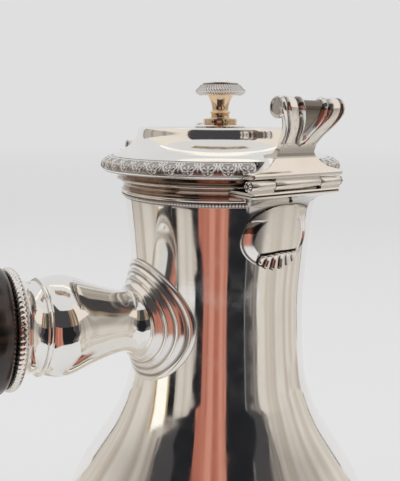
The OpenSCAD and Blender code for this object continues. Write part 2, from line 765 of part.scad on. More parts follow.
// Fanned thumbpiece with its rolled top
module thumbpiece() {
  y0 = -hinge_reach;
  h = thumb_height;
  mid = smooth([
    [y0 + 0.8, 0], [y0 - 0.5, 0.15 * h], [y0 - 2.3, 0.31 * h], [y0 - 4.1, 0.46 * h],
    [y0 - 5.5, 0.62 * h], [y0 - 6.1, 0.77 * h], [y0 - 5.7, 0.92 * h]
  ], 4);
  sheet = [for (p = mid) [p[0], p[1] + plate_top]];
  fan = smooth([
    [thumb_waist, -0.5], [thumb_waist + 0.2, 0.12 * h], [thumb_waist + 1, 0.32 * h],
    [0.55 * thumb_waist + 0.45 * thumb_half, 0.5 * h], [0.25 * thumb_waist + 0.75 * thumb_half, 0.66 * h],
    [thumb_half, 0.8 * h], [thumb_half, h + 1]
  ], 3);
  flute_x = 0.49 * thumb_half;
  flute = [
    [0.1, 0.06 * h], [0.25 * thumb_half, 0.17 * h], [0.36 * thumb_half, 0.42 * h], [flute_x, 0.78 * h],
    [flute_x, h], [flute_x + 1.1, h], [flute_x + 1.1, 0.78 * h], [0.36 * thumb_half + 0.9, 0.4 * h],
    [0.25 * thumb_half + 0.6, 0.12 * h], [0.1, 0.01 * h]
  ];
  hollow = [
    [0, 0.26 * h], [0.14 * thumb_half, 0.3 * h], [0.29 * thumb_half, 0.74 * h], [0.29 * thumb_half, 0.9 * h],
    [0, 0.9 * h]
  ];
  roll_y = y0 - 6.9 + roll_radius;
  roll_z = plate_top + h - roll_radius;
  color(silver)
    difference() {
      union() {
        intersection() {
          rotate([90, 0, 90])
            translate([0, 0, -side_span / 2])
              linear_extrude(height = side_span)
                polygon(concat(shifted(sheet, 0.75), backwards(shifted(sheet, -0.75))));
          translate([0, -0.6 * waist_radius, plate_top])
            rotate([90, 0, 0])
              linear_extrude(height = front_span)
                polygon(mirrored(fan));
        }
        along_x(roll_radius, -thumb_half, thumb_half, roll_y, roll_z);
      }
      for (s = [-1, 1]) {
        along_x(roll_radius - 0.9, s * thumb_half - 1, s * thumb_half + 1, roll_y, roll_z);
        difference() {
          along_x(roll_radius + 2, s * (flute_x + 0.55) - 0.5, s * (flute_x + 0.55) + 0.5, roll_y, roll_z);
          along_x(roll_radius - flute_depth, -thumb_half, thumb_half, roll_y, roll_z);
          translate([-side_span / 2, -3 * hinge_reach, plate_top - 1])
            cube([side_span, 6 * hinge_reach, h - roll_radius + 0.9]);
        }
      }
      intersection() {
        rotate([90, 0, 90])
          translate([0, 0, -side_span / 2])
            linear_extrude(height = side_span)
              polygon(concat(shifted(sheet, 1.5), backwards(shifted(sheet, 0.75 - flute_depth))));
        translate([0, -0.6 * waist_radius, plate_top])
          rotate([90, 0, 0])
            linear_extrude(height = front_span) {
              polygon(flute);
              polygon([for (p = flute) [-p[0], p[1]]]);
              polygon(mirrored(hollow));
            }
      }
      translate([-side_span / 2, y0 - side_span / 2, plate_top - hinge_half])
        cube([side_span, side_span, hinge_half]);
    }
}

// Rivet on which the cover of the stirrer hole swings
rivet_radius = 1.1;
module cover_rivet() {
  color(bright)
    translate([0, cover_pivot, 0])
      rotate_extrude($fn = small_steps)
        polygon([
          [0, lid_top - lid_wall - 0.5], [1.8, lid_top - lid_wall - 0.5], [1.8, lid_top - lid_wall],
          [rivet_radius, lid_top - lid_wall], [rivet_radius, cover_z + cover_thickness + 0.05],
          [1.8, cover_z + cover_thickness + 0.05], [1.4, cover_z + cover_thickness + 0.5],
          [0, cover_z + cover_thickness + 0.6]
        ]);
}

// Round cover of the stirrer hole with an ear for its rivet
module cover_plate() {
  ear = 2.8;
  color(silver)
    translate([0, 0, cover_z])
      difference() {
        union() {
          cylinder(r = cover_radius, h = cover_thickness, $fn = round_steps);
          translate([0, cover_pivot, 0])
            cylinder(r = ear, h = cover_thickness, $fn = small_steps);
          translate([-2.2, cover_radius - 2, 0])
            cube([4.4, cover_pivot - cover_radius + 2.2, cover_thickness]);
        }
        translate([0, cover_pivot, -1])
          cylinder(r = rivet_radius + pin_play, h = 5, $fn = small_steps);
      }
}

// Turned stem of the finial, standing on the cover
finial_z = cover_z + cover_thickness;
module finial_stem() {
  h = finial_height;
  stem = smooth([
    [2.6, 0.31 * h], [2.75, 0.4 * h], [3.05, 0.5 * h], [3.5, 0.58 * h], [4, 0.645 * h]
  ], 3);
  color(silver)
    translate([0, 0, finial_z])
      rotate_extrude($fn = small_steps)
        polygon(concat(
          [[0, 0], [5.5, 0], [5.5, 0.09 * h], [4.9, 0.12 * h], [4.7, 0.16 * h], [3.2, 0.18 * h],
          [3, 0.25 * h], [3.3, 0.265 * h], [3.3, 0.285 * h]], stem, [[0, 0.645 * h]]));
}

// Cap of the finial with its milled band and low dome
module finial_cap() {
  h = finial_height;
  color(bright)
    translate([0, 0, finial_z]) {
      translate([0, 0, 0.69 * h])
        linear_extrude(height = 0.07 * h)
          polygon(ribbed(finial_radius + 0.05, 0.3, 56));
      rotate_extrude($fn = small_steps)
        polygon([
          [0, 0.645 * h], [4.6, 0.645 * h], [finial_radius - 0.9, 0.665 * h], [finial_radius - 0.35, 0.7 * h],
          [finial_radius - 0.35, 0.75 * h], [finial_radius - 0.6, 0.8 * h], [finial_radius - 1.8, 0.85 * h],
          [5.6, 0.87 * h], [5.6, 0.9 * h], [4.9, 0.915 * h], [2.6, 0.925 * h], [2.2, 0.965 * h],
          [1.2, 0.99 * h], [0, h]
        ]);
    }
}

body();
foot_ring();
neck_collar();
bead_wire();
spout();
spout_flap();
flap_pin();
hinge_bracket();
hinge_pin();
hinge_plaque();
handle_plate();
handle_socket();
rope_ring();
wooden_handle();
handle_pin();
lid_shell();
lid_border();
lid_bezel();
hinge_plate();
thumbpiece();
cover_rivet();
cover_plate();
finial_stem();
finial_cap();
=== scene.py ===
# %% [markdown]
# # A silver chocolate pot with a side handle
#
# This lesson builds the looks of a chocolate pot around its measured frame. The pot is raised silver sheet
# with cast mouldings soldered on. Its lid turns on a three-knuckle hinge, and a turned wooden handle keeps
# the hand away from the hot metal. Every shape below is made in code, a short step at a time. Lengths are written in
# millimetres, the way a silversmith would, and turned into metres by one helper.

# %% Load the frame
import json
import math
import bpy
import bmesh
import numpy as np
from mathutils import Matrix, Vector

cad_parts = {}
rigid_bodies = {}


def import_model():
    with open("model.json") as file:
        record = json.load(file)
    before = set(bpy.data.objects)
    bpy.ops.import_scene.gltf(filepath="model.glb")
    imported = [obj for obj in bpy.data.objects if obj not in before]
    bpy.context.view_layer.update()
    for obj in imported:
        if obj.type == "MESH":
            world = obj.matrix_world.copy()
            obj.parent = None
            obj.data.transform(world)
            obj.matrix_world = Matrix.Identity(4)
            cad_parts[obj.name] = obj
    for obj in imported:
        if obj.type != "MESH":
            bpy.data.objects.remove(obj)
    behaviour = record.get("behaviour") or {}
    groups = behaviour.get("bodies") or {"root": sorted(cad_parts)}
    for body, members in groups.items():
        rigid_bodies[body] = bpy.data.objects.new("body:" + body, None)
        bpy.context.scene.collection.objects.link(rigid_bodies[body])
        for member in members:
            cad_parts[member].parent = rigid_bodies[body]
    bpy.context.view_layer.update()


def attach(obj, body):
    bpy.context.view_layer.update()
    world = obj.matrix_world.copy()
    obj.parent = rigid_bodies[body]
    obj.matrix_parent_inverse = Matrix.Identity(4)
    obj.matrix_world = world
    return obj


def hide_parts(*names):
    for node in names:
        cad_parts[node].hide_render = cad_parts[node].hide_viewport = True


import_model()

# %% [markdown]
# ## Tools of the bench
#
# Most of the pot is round, so the main tool is a lathe: it turns a list of radius and height pairs around an
# axis. A second tool skins a grid of points, for the pieces that aren't round. A smooth curve through a few
# stations stands in for the template that a raiser holds against the metal. The last tool joins points and
# faces into a mesh, smooths it up to its sharp edges, and hands it to the body that it moves with.

# %% Curves
MM = 0.001


def template(stations, steps=8):
    """A smooth curve through a short list of stations."""
    pts = [np.array(p, float) for p in stations]
    out = []
    for i in range(len(pts) - 1):
        a, b, c, d = pts[max(i - 1, 0)], pts[i], pts[i + 1], pts[min(i + 2, len(pts) - 1)]
        for k in range(steps):
            u = k / steps
            out.append(0.5 * (2 * b + (c - a) * u + (2 * a - 5 * b + 4 * c - d) * u * u
                              + (3 * b - a - 3 * c + d) * u ** 3))
    out.append(pts[-1])
    return np.array(out)


def inset(curve, depth):
    """The same curve moved sideways, for the other face of a sheet."""
    run = np.gradient(curve, axis=0)
    run /= np.linalg.norm(run, axis=1)[:, None]
    return curve + depth * np.stack([run[:, 1], -run[:, 0]], 1)


def drawn_from(first, second, profile):
    """A profile whose points are measured from one corner."""
    return np.asarray(profile, float) + (first, second)


def line(distance, width):
    """A raised line: 1 in its middle, 0 beyond its width."""
    return np.clip(1.25 - 1.25 * (distance / width) ** 2, 0, 1)


print("a curve through 3 stations has", len(template([(0, 0), (1, 1), (2, 0)])), "points")

# %% Skin and lathe


def skin(grid, wrap_u=False, wrap_v=False):
    """Faces of a grid of points, numbered row by row."""
    rows, cols = grid
    faces = []
    for i in range(rows if wrap_u else rows - 1):
        for j in range(cols if wrap_v else cols - 1):
            a, b = i * cols + j, i * cols + (j + 1) % cols
            c, d = ((i + 1) % rows) * cols + (j + 1) % cols, ((i + 1) % rows) * cols + j
            faces.append((a, b, c, d))
    return faces


def turn(profile, steps=192, closed=True, relief=None):
    """Turns a profile of radius and height around the z axis; relief(angle, k) lifts it outward."""
    profile = np.asarray(profile, float)
    angle = np.linspace(0, 2 * math.pi, steps, endpoint=False)
    r = np.repeat(profile[:, :1], steps, 1)
    z = np.repeat(profile[:, 1:], steps, 1)
    if relief is not None:
        lift = relief(angle[None, :], np.arange(len(profile))[:, None])
        run = np.gradient(profile, axis=0)
        run /= np.linalg.norm(run, axis=1)[:, None] + 1e-9
        r = r + lift * run[:, 1:2]
        z = z - lift * run[:, 0:1]
    pts = np.stack([r * np.cos(angle), r * np.sin(angle), z], -1).reshape(-1, 3)
    return pts, skin((len(profile), steps), wrap_u=closed, wrap_v=True)


def join(parts):
    """Joins lists of points and faces into one."""
    all_points, all_faces = [], []
    for pts, fcs in parts:
        base = sum(len(p) for p in all_points)
        all_points.append(np.asarray(pts, float))
        all_faces += [tuple(i + base for i in f) for f in fcs]
    return np.vstack(all_points), all_faces


print("a grid of 3 by 4 points has", len(skin((3, 4))), "faces")

# %% Finish a piece and put it on its body


def piece(name, points, faces, finish, body, instead_of=(), crease=38, place=None, lit_share=None):
    """Turns points in millimetres into a finished piece that moves with its body.

    The last argument gives each point its painted light: 0 in a hollow, painted in full shade, 1 on a ridge, left
    bright.
    """
    mesh = bpy.data.meshes.new(name)
    mesh.from_pydata([tuple(p) for p in np.asarray(points, float) * MM], [], faces)
    work = bmesh.new()
    work.from_mesh(mesh)
    if lit_share is not None:
        layer = work.verts.layers.float.new("lit_share")
        for vert, value in zip(work.verts, np.asarray(lit_share, float).ravel()):
            vert[layer] = value
    bmesh.ops.remove_doubles(work, verts=work.verts, dist=2e-6)
    bmesh.ops.dissolve_degenerate(work, edges=work.edges, dist=1e-7)
    bmesh.ops.recalc_face_normals(work, faces=work.faces)
    work.to_mesh(mesh)
    work.free()
    mesh.shade_smooth()
    mesh.set_sharp_from_angle(angle=math.radians(crease))
    mesh.materials.append(finish)
    if place is not None:
        mesh.transform(place)
    thing = bpy.data.objects.new(name, mesh)
    bpy.context.scene.collection.objects.link(thing)
    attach(thing, body)
    if instead_of:
        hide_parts(*instead_of)
    return thing


print("pieces are drawn in millimetres and kept in metres, at a scale of", MM)

# %% [markdown]
# ## Silver
#
# Polished silver is a mirror that is never quite perfect. Raising leaves slow waves in the sheet, polishing
# leaves fine hair lines, and handling leaves soft spots where the shine is duller. In hollows a warm brown
# tarnish stays behind because the cloth doesn't reach it, and the hollows are painted darker still as painted
# shade. The finish below mixes all four and the painted shade, and each kind of piece gets its own amount.

# %% A short way to write a finish


def feed(mat, node, inputs):
    """Gives inputs of a node a plain value, or links the output of another node to them."""
    for name, value in inputs.items():
        if isinstance(value, bpy.types.NodeSocket):
            mat.node_tree.links.new(value, node.inputs[name])
        else:
            node.inputs[name].default_value = value


def add_node(mat, kind, inputs):
    """Adds a node of one kind and feeds it."""
    node = mat.node_tree.nodes.new("ShaderNode" + kind)
    feed(mat, node, inputs)
    return node


def blank_finish(name):
    """A new material, its shader, and the place on the piece that its patterns follow."""
    mat = bpy.data.materials.new(name)
    mat.use_nodes = True
    where = add_node(mat, "TexCoord", {}).outputs["Object"]
    return mat, mat.node_tree.nodes["Principled BSDF"], where


def noise(mat, where, scale, detail, distortion=0.0):
    """Cloudy noise; a scale of three numbers stretches it."""
    if isinstance(scale, tuple):
        where = add_node(mat, "Mapping", {"Vector": where, "Scale": scale}).outputs["Vector"]
        scale = 1
    inputs = {"Vector": where, "Scale": scale, "Detail": detail, "Distortion": distortion}
    return add_node(mat, "TexNoise", inputs).outputs["Fac"]


def between(mat, value, low, high, least, most):
    """Runs from least, where the value is low, to most, where it is high."""
    inputs = {"Value": value, "From Min": low, "From Max": high, "To Min": least, "To Max": most}
    return add_node(mat, "MapRange", inputs).outputs["Result"]


def bumps(mat, height, depth, strength, over=None):
    """Small unevenness in the shine; over is an unevenness that it lies on."""
    inputs = {"Height": height, "Distance": depth, "Strength": strength}
    if over is not None:
        inputs["Normal"] = over
    return add_node(mat, "Bump", inputs).outputs["Normal"]


def blend(mat, factor, first, second):
    """Mixes two colours."""
    inputs = {"Fac": factor, "Color1": first, "Color2": second}
    return add_node(mat, "MixRGB", inputs).outputs["Color"]


def colour_run(mat, factor, stops):
    """A run of colours; stops lists places from 0 to 1 with their colours."""
    node = add_node(mat, "ValToRGB", {"Fac": factor})
    marks = node.color_ramp.elements
    while len(marks) < len(stops):
        marks.new(1.0)
    for mark, (place, colour) in zip(marks, stops):
        mark.position = place
        mark.color = (*colour, 1)
    return node.outputs["Color"]


print("finish tools: noise, between, bumps, blend, colour_run")

# %% Silver finishes
# Tarnish colour; it also paints shade into the hollows.
TARNISH_AND_SHADE = (0.36, 0.27, 0.17, 1)
DULL_SPREAD = 0.1


def silver_finish(name, colour, tarnish, dull, wave, hair, hollow=0.0, shade_colour=None):
    """A polished silver: waves of raising, hair lines, dull spots and tarnish.

    With a colour for painted shade, the places marked as lying in shade show that colour, as painted shade.
    """
    mat, shader, where = blank_finish(name)
    stain = between(mat, noise(mat, where, 55, 5), 0.48, 0.8, 0.0, tarnish)
    # Painted shade and tarnish: the hollow amount lays the tarnish colour into hollows found from the curvature.
    bend = add_node(mat, "NewGeometry", {}).outputs["Pointiness"]
    deep = between(mat, bend, 0.5, 0.42, 0.0, hollow)
    brown = add_node(mat, "Math", {0: stain, 1: deep})
    brown.operation = "MAXIMUM"
    base = blend(mat, brown.outputs[0], (*colour, 1), TARNISH_AND_SHADE)
    if shade_colour is not None:
        shade_node = add_node(mat, "Attribute", {})
        shade_node.attribute_name = "lit_share"
        base = blend(mat, shade_node.outputs["Fac"], (*shade_colour, 1), base)
    worn = between(mat, noise(mat, where, 180, 6), 0.35, 0.75, dull, dull + DULL_SPREAD)
    raised = bumps(mat, noise(mat, where, 42, 1), 0.001, wave)
    hair_lines = bumps(mat, noise(mat, where, (60, 60, 2600), 3), 0.0001, hair, raised)
    feed(mat, shader, {"Metallic": 1.0, "Base Color": base, "Roughness": worn, "Normal": hair_lines})
    return mat


SILVER = (0.93, 0.915, 0.885)
CAST = (0.9, 0.88, 0.84)
sheet_silver = silver_finish("sheet_silver", SILVER, 0.10, 0.045, 0.06, 0.03)
turned_silver = silver_finish("turned_silver", SILVER, 0.16, 0.06, 0.04, 0.04, 0.35)
cast_silver = silver_finish("cast_silver", CAST, 0.2, 0.1, 0.08, 0.03, 0.6)
chased_silver = silver_finish("chased_silver", (0.95, 0.94, 0.92), 0.1, 0.2, 0.05, 0.03,
                              shade_colour=(0.33, 0.31, 0.30))
fluted_silver = silver_finish("fluted_silver", (0.93, 0.91, 0.88), 0.14, 0.13, 0.06, 0.03,
                              shade_colour=(0.10, 0.075, 0.06))
cove_silver = silver_finish("cove_silver", (0.88, 0.83, 0.77), 0.25, 0.09, 0.10, 0.04,
                            shade_colour=(0.26, 0.17, 0.12))
finial_silver = silver_finish("finial_silver", (0.86, 0.68, 0.48), 0.3, 0.07, 0.03, 0.03, 0.4)
pin_silver = silver_finish("pin_silver", CAST, 0.2, 0.1, 0.02, 0.02, 0.3)
inside_silver = silver_finish("inside_silver", (0.85, 0.82, 0.76), 0.4, 0.25, 0.1, 0.05)
print("silver finishes:", [m.name for m in bpy.data.materials if "silver" in m.name])

# %% [markdown]
# ## Dark wood
#
# The handle is a dense, nearly black hardwood such as ebony. Its figure only shows as brown streaks along the
# length, and a hand-worn polish gives it a clear, slightly soft shine.

# %% Wood finish
HANDLE_TILT = math.radians(7.5)


def wood_finish(name, along):
    """Nearly black hardwood with brown streaks that run along the handle."""
    mat, shader, where = blank_finish(name)
    lengthwise = add_node(mat, "Mapping", {"Vector": where, "Rotation": (0, along, 0),
                                           "Scale": (40, 420, 420)})
    grain = noise(mat, lengthwise.outputs["Vector"], 1, 7, 0.5)
    figure = colour_run(mat, grain, [(0.36, (0.004, 0.0035, 0.003)), (0.70, (0.030, 0.015, 0.010))])
    feed(mat, shader, {"Base Color": figure, "Normal": bumps(mat, grain, 0.0002, 0.12), "Roughness": 0.24,
                       "Coat Weight": 0.35, "Coat Roughness": 0.12})
    return mat


handle_wood = wood_finish("handle_wood", -HANDLE_TILT)
print("wood finish:", handle_wood.name, "with its grain tilted like the handle")

# %% [markdown]
# ## The body
#
# The body is raised from one flat disc of silver: hammered over stakes until it narrows to a waist and opens
# again towards the mouth. The template curve has its stations where the photo shows the outline, and the
# lower belly and foot follow the usual form. Behind the spout the neck is cut open, so that the drink can
# flow out.

# %% Draw the outline of the body
RIM = 166.6
BAND = RIM - 8.1
FOOT_TOP = 5.0
BASE_R = 36.5
BELLY_R, BELLY_Z = 55.2, 40
WAIST_R, WAIST_Z = 28.5, 123.4
MOUTH_R = 30.6
WALL = 1.2
flare, bowl = BELLY_R - BASE_R, BELLY_Z - FOOT_TOP
swell, climb = BELLY_R - WAIST_R, WAIST_Z - BELLY_Z
body_stations = []
for part, height in ((0, 0), (0.42, 0.13), (0.72, 0.33), (0.92, 0.62)):
    body_stations.append((BASE_R + part * flare, FOOT_TOP + height * bowl))
for part, height in ((1, 0), (0.94, 0.12), (0.829, 0.21), (0.607, 0.326), (0.3, 0.486), (0.125, 0.625),
                     (0.05, 0.745), (0, 1)):
    body_stations.append((WAIST_R + part * swell, BELLY_Z + height * climb))
body_stations += [(WAIST_R + 0.35 * (MOUTH_R - WAIST_R), WAIST_Z + 0.5 * (BAND - WAIST_Z)), (MOUTH_R, BAND)]
body_outline = template(body_stations, 12)


def neck_radius(z):
    """Radius of the outer face of the body at a height."""
    return np.interp(z, body_outline[:, 1], body_outline[:, 0])


print("outline:", len(body_stations), "stations, waist", 2 * WAIST_R, "mm, belly", 2 * BELLY_R, "mm")

# %% Raise the body
FLOOR = FOOT_TOP + WALL
CUT_LOW, CUT_HIGH, CUT_R = 131, 150, 6.4
BEHIND = 20
body_inside = inset(body_outline, -WALL)
on_neck = body_inside[:, 1] > WAIST_Z
body_inside[:, 0] = np.where(on_neck, np.minimum(body_inside[:, 0], MOUTH_R - WALL), body_inside[:, 0])
body_inside = body_inside[body_inside[:, 1] > FLOOR + 0.3]
mouth_edge = [[MOUTH_R, RIM - 0.25], [MOUTH_R - 0.2, RIM], [MOUTH_R - WALL + 0.2, RIM],
              [MOUTH_R - WALL, RIM - 0.3]]
body_profile = np.vstack([[[0.0, FOOT_TOP]], body_outline, mouth_edge, body_inside[::-1],
                          [[BASE_R - 1, FLOOR], [0.0, FLOOR]]])
points, faces = turn(body_profile, 288, closed=False)


def behind_spout(p):
    """True where the neck is cut open into the spout."""
    x, y, z = p
    near = min(max(z, CUT_LOW), CUT_HIGH)
    return y > BEHIND and x * x + (z - near) ** 2 < CUT_R ** 2


open_faces = [f for f in faces if not all(behind_spout(points[i]) for i in f)]
piece("raised_body", points, open_faces, sheet_silver, "pot", ["body"])
print("body:", len(open_faces), "faces, neck cut open behind the spout by", len(faces) - len(open_faces))

# %% [markdown]
# ## The foot ring
#
# A drawn moulding is bent into a hoop and soldered under the body. It takes the wear of the table, so the
# floor of the pot never touches it.

# %% Turn the foot ring
FOOT_R = 39.5
foot_side = drawn_from(FOOT_R, 0, [
    (0, 0.3), (0, 1.4), (-0.3, 1.9), (-0.9, 2.2), (-1.5, 2.5), (-2.1, 3.0), (-2.4, 3.6), (-2.7, 4.3),
    (-3.05, 5.0), (-5.0, 5.0), (-5.9, 3.2), (-6.0, 0.3), (-5.7, 0), (-0.3, 0)])
points, faces = turn(foot_side, 256)
piece("foot_moulding", points, faces, turned_silver, "pot", ["foot_ring"])
print("foot ring: resting face", round(foot_side[-1, 0] - foot_side[-2, 0], 1), "mm wide")

# %% [markdown]
# ## The collar under the mouth
#
# The mouth is stiffened by a moulding with a sharp ridge, a hollow below it and a plain fillet. Under it lies
# a wire of fine beads, rolled between two dies. The collar stops on both sides of the spout.

# %% Turn the collar
SPOUT_AT = math.pi / 2
SPOUT_GAP = math.radians(22.5)
COLLAR_END = (SPOUT_AT + SPOUT_GAP, SPOUT_AT + 2 * math.pi - SPOUT_GAP)
collar_side = template(drawn_from(MOUTH_R, RIM, [
    (0, -6.45), (0.9, -6.48), (1.18, -6.0), (1.0, -5.55), (0.55, -5.1), (0.4, -4.3), (0.8, -3.4), (1.7, -2.8),
    (2.45, -2.4), (2.5, -2.1), (2.3, -1.8), (1.3, -1.5), (1.05, -1.0), (1.0, -0.1), (0, 0)]), 3)


def hoop(profile, steps):
    """A turned moulding that stops on both sides of the spout, with closed ends."""
    profile = np.asarray(profile, float)
    angle = np.linspace(*COLLAR_END, steps)
    r, z = profile[:, :1], np.repeat(profile[:, 1:], steps, 1)
    pts = np.stack([r * np.cos(angle), r * np.sin(angle), z], -1).transpose(1, 0, 2).reshape(-1, 3)
    faces = skin((steps, len(profile)), wrap_v=True)
    last = (steps - 1) * len(profile)
    faces += [tuple(range(len(profile))), tuple(last + k for k in range(len(profile)))]
    return pts, faces


points, faces = hoop(collar_side, 260)
below_rim = RIM - points[:, 2]
# Painted shade: the band under the lid's border and the cove below the ridge are painted dark brown; the ridge and
# the lower fillet stay bright.
collar_painted_light = np.interp(below_rim, [0, 1.3, 1.7, 2.1, 2.6, 3.3, 4.4, 5.4, 5.7, 6.6],
                   [0.0, 0.05, 0.5, 1.0, 0.85, 0.35, 0.0, 0.25, 0.95, 0.9])
piece("collar_moulding", points, faces, cove_silver, "pot", ["neck_collar"], crease=50,
      lit_share=collar_painted_light)
print("collar: stands", round(collar_side[:, 0].max() - MOUTH_R, 2), "mm out from the mouth")

# %% Roll the bead wire
BEAD_COUNT = 216
BEAD_R, BEAD_REACH = 0.42, MOUTH_R + 0.75
BEAD_Z = RIM - 7.2
wire_side = drawn_from(MOUTH_R, BEAD_Z, [
    (0, -0.85), (0.45, -0.8), (0.6, -0.4), (0.6, 0.1), (0.45, 0.55), (0, 0.6)])
ball = bmesh.new()
bmesh.ops.create_icosphere(ball, subdivisions=2, radius=BEAD_R)
ball_points = np.array([v.co[:] for v in ball.verts])
ball_faces = [tuple(v.index for v in f.verts) for f in ball.faces]
ball.free()
parts = [hoop(wire_side, 220)]
for k in range(BEAD_COUNT):
    a = 2 * math.pi * k / BEAD_COUNT
    from_spout = abs((a - SPOUT_AT + math.pi) % (2 * math.pi) - math.pi)
    if from_spout >= SPOUT_GAP - 0.01:
        shift = np.array([BEAD_REACH * math.cos(a), BEAD_REACH * math.sin(a), BEAD_Z])
        parts.append((ball_points + shift, ball_faces))
points, faces = join(parts)
# Painted shade: the wire and the inner sides of the beads are painted in shade, only the outer faces of the beads
# bright.
bead_painted_light = np.interp(np.hypot(points[:, 0], points[:, 1]), [MOUTH_R + 0.6, MOUTH_R + 0.95], [0.0, 1.0])
piece("bead_wire_visible", points, faces, chased_silver, "pot", ["bead_wire"],
      crease=60, lit_share=bead_painted_light)
print("bead wire:", len(parts) - 1, "beads")

# %% [markdown]
# ## The lid
#
# The lid is a shallow dome of sheet: a sloping shoulder, a short drum and a flat top with a hole for the
# stirring rod. Chocolate has to be whisked just before it is poured, so the hole lets a rod reach in with the
# lid closed. Under the shoulder a bezel drops into the mouth and keeps the lid central.

# %% Raise the lid
TOP = RIM + 13.4
LOW = RIM + 0.3
SEAT_R = 34.0
SHOULDER = TOP - 8.6
HOLE_R = 6.2
DRUM_R = 25.3
LID_WALL = 1.1
lid_outline = template([
    (SEAT_R, SHOULDER), (SEAT_R - 1.2, SHOULDER + 0.7), (SEAT_R - 2.8, SHOULDER + 1.55),
    (SEAT_R - 4.7, SHOULDER + 2.7), (SEAT_R - 6.2, SHOULDER + 4), (DRUM_R + 1.4, SHOULDER + 5.6),
    (DRUM_R + 0.75, TOP - 0.7), (DRUM_R + 0.4, TOP - 0.2), (DRUM_R, TOP)], 6)
lid_inside = inset(lid_outline, -LID_WALL)
lid_inside = lid_inside[(lid_inside[:, 1] < TOP - 1.5)]
flat_top = template([(DRUM_R - 0.3, TOP), (20, TOP), (12, TOP), (HOLE_R, TOP)], 2)
lid_profile = np.vstack([[[SEAT_R, SHOULDER - LID_WALL]], lid_outline, flat_top,
                         [[HOLE_R, TOP - LID_WALL], [DRUM_R - 1.9, TOP - LID_WALL]], lid_inside[::-1]])
points, faces = turn(lid_profile, 288)
piece("lid_sheet", points, faces, sheet_silver, "lid", ["lid_shell"])
print("lid: hole for the stirring rod", 2 * HOLE_R, "mm across")

# %% Turn the bezel
BEZEL_R, BEZEL_DEEP = 28.6, 4.5
bezel_side = [(BEZEL_R - 1, LOW - BEZEL_DEEP), (BEZEL_R - 0.2, LOW - BEZEL_DEEP),
              (BEZEL_R, LOW - BEZEL_DEEP + 0.3), (BEZEL_R, LOW), (SEAT_R, LOW), (SEAT_R, LOW + 1),
              (BEZEL_R - 1, LOW + 1)]
points, faces = turn(bezel_side, 192)
piece("lid_bezel_visible", points, faces, inside_silver, "lid", ["lid_bezel"])
print("bezel: play in the mouth", round(MOUTH_R - WALL - BEZEL_R, 2), "mm")

# %% [markdown]
# ## The leaf border
#
# A cast border hides the joint between lid and bezel. Its pattern is a row of hearts, point down, each holding
# a small fan of leaves, with a drop between neighbours. A caster would press the pattern into sand; here one
# repeat is drawn as a height map on the rounded moulding, with about 5 mm to each repeat.

# %% Draw one repeat of the border


def leaf_pattern(across, up):
    """Height of one repeat of the border: across runs -1 to 1, up runs 0 at the foot to 1 at the top."""
    side = np.abs(across)
    bow = 0.86 * np.sin(np.clip((up - 0.02) / 0.98, 0, 1) ** 0.62 * 1.75) - 0.02
    heart = line(side - bow, 0.095) * (up > 0.01) * (up < 0.96)
    curl = line(np.hypot(side - 0.70, (up - 0.84) * 1.25) - 0.17, 0.09) * (side < 0.9)
    reach = np.hypot(across, (up - 0.26) * 1.45)
    spread = np.arctan2(across, (up - 0.26) * 1.45)
    petals = np.clip(np.cos(spread * 7.2) * 1.6, 0, 1)
    fan = petals * (reach < 0.70) * np.clip((reach - 0.1) * 7, 0, 1) * np.clip((0.72 - reach) * 8, 0, 1)
    fan = fan * (np.abs(spread) < 1.75) * (side < bow - 0.12)
    bud = line(np.hypot(across, (up - 0.24) * 1.3), 0.15)
    drop = line(np.hypot((side - 1.0) * 1.5, (up - 0.62) * 1.0), 0.17)
    stem = line(side - 1.0, 0.06) * (up > 0.2) * (up < 0.55)
    return np.clip(np.maximum.reduce([heart, 0.85 * curl, 0.85 * fan, bud, 0.8 * drop, 0.6 * stem]), 0, 1)


print("height in the middle of a heart:", round(float(leaf_pattern(0.0, 0.24)), 2))

# %% Cast the border
BORDER_R = 37.95
BORDER_REPEATS = 45
REPEAT_STEPS = 32
BORDER_DEPTH = 0.24
PATTERN_LOW, PATTERN_TALL = 0.17, 0.74
HINGE_GAP = math.asin(13.4 / 38.0)
HINGE_AT = -math.pi / 2
border_round = template(drawn_from(BORDER_R, RIM, [
    (-3.2, 4.7), (-2.65, 4.62), (-1.75, 4.25), (-0.85, 3.6), (-0.25, 2.8), (0, 2.0), (-0.15, 1.3), (-0.6, 0.8),
    (-0.95, 0.5)]), 6)
border_foot = [(BORDER_R - 1.05, LOW + 0.05), (BORDER_R - 1.75, LOW), (SEAT_R, LOW), (SEAT_R, LOW + 4.3)]
length_up = np.concatenate([[0], np.cumsum(np.linalg.norm(np.diff(border_round, axis=0), axis=1))])
row_up = np.concatenate([1 - length_up / length_up[-1], np.full(len(border_foot), -1.0)])
border_profile = np.vstack([border_round, border_foot])
run = np.gradient(border_profile, axis=0)
run /= np.linalg.norm(run, axis=1)[:, None]
border_angle = np.linspace(HINGE_AT + HINGE_GAP, HINGE_AT + 2 * math.pi - HINGE_GAP,
                           BORDER_REPEATS * REPEAT_STEPS)
across = (((border_angle - HINGE_AT) * BORDER_REPEATS / (2 * math.pi) + 0.5) % 1.0) * 2 - 1
place_up = (row_up - PATTERN_LOW) / PATTERN_TALL
on_pattern = (place_up > 0) & (place_up < 1)
edge_lines = np.maximum(line(row_up - 0.955, 0.05), line(row_up - 0.09, 0.07))
edge_fade = np.clip(np.minimum(row_up, 1 - row_up) * 30, 0, 1)
columns, painted_light = [], []
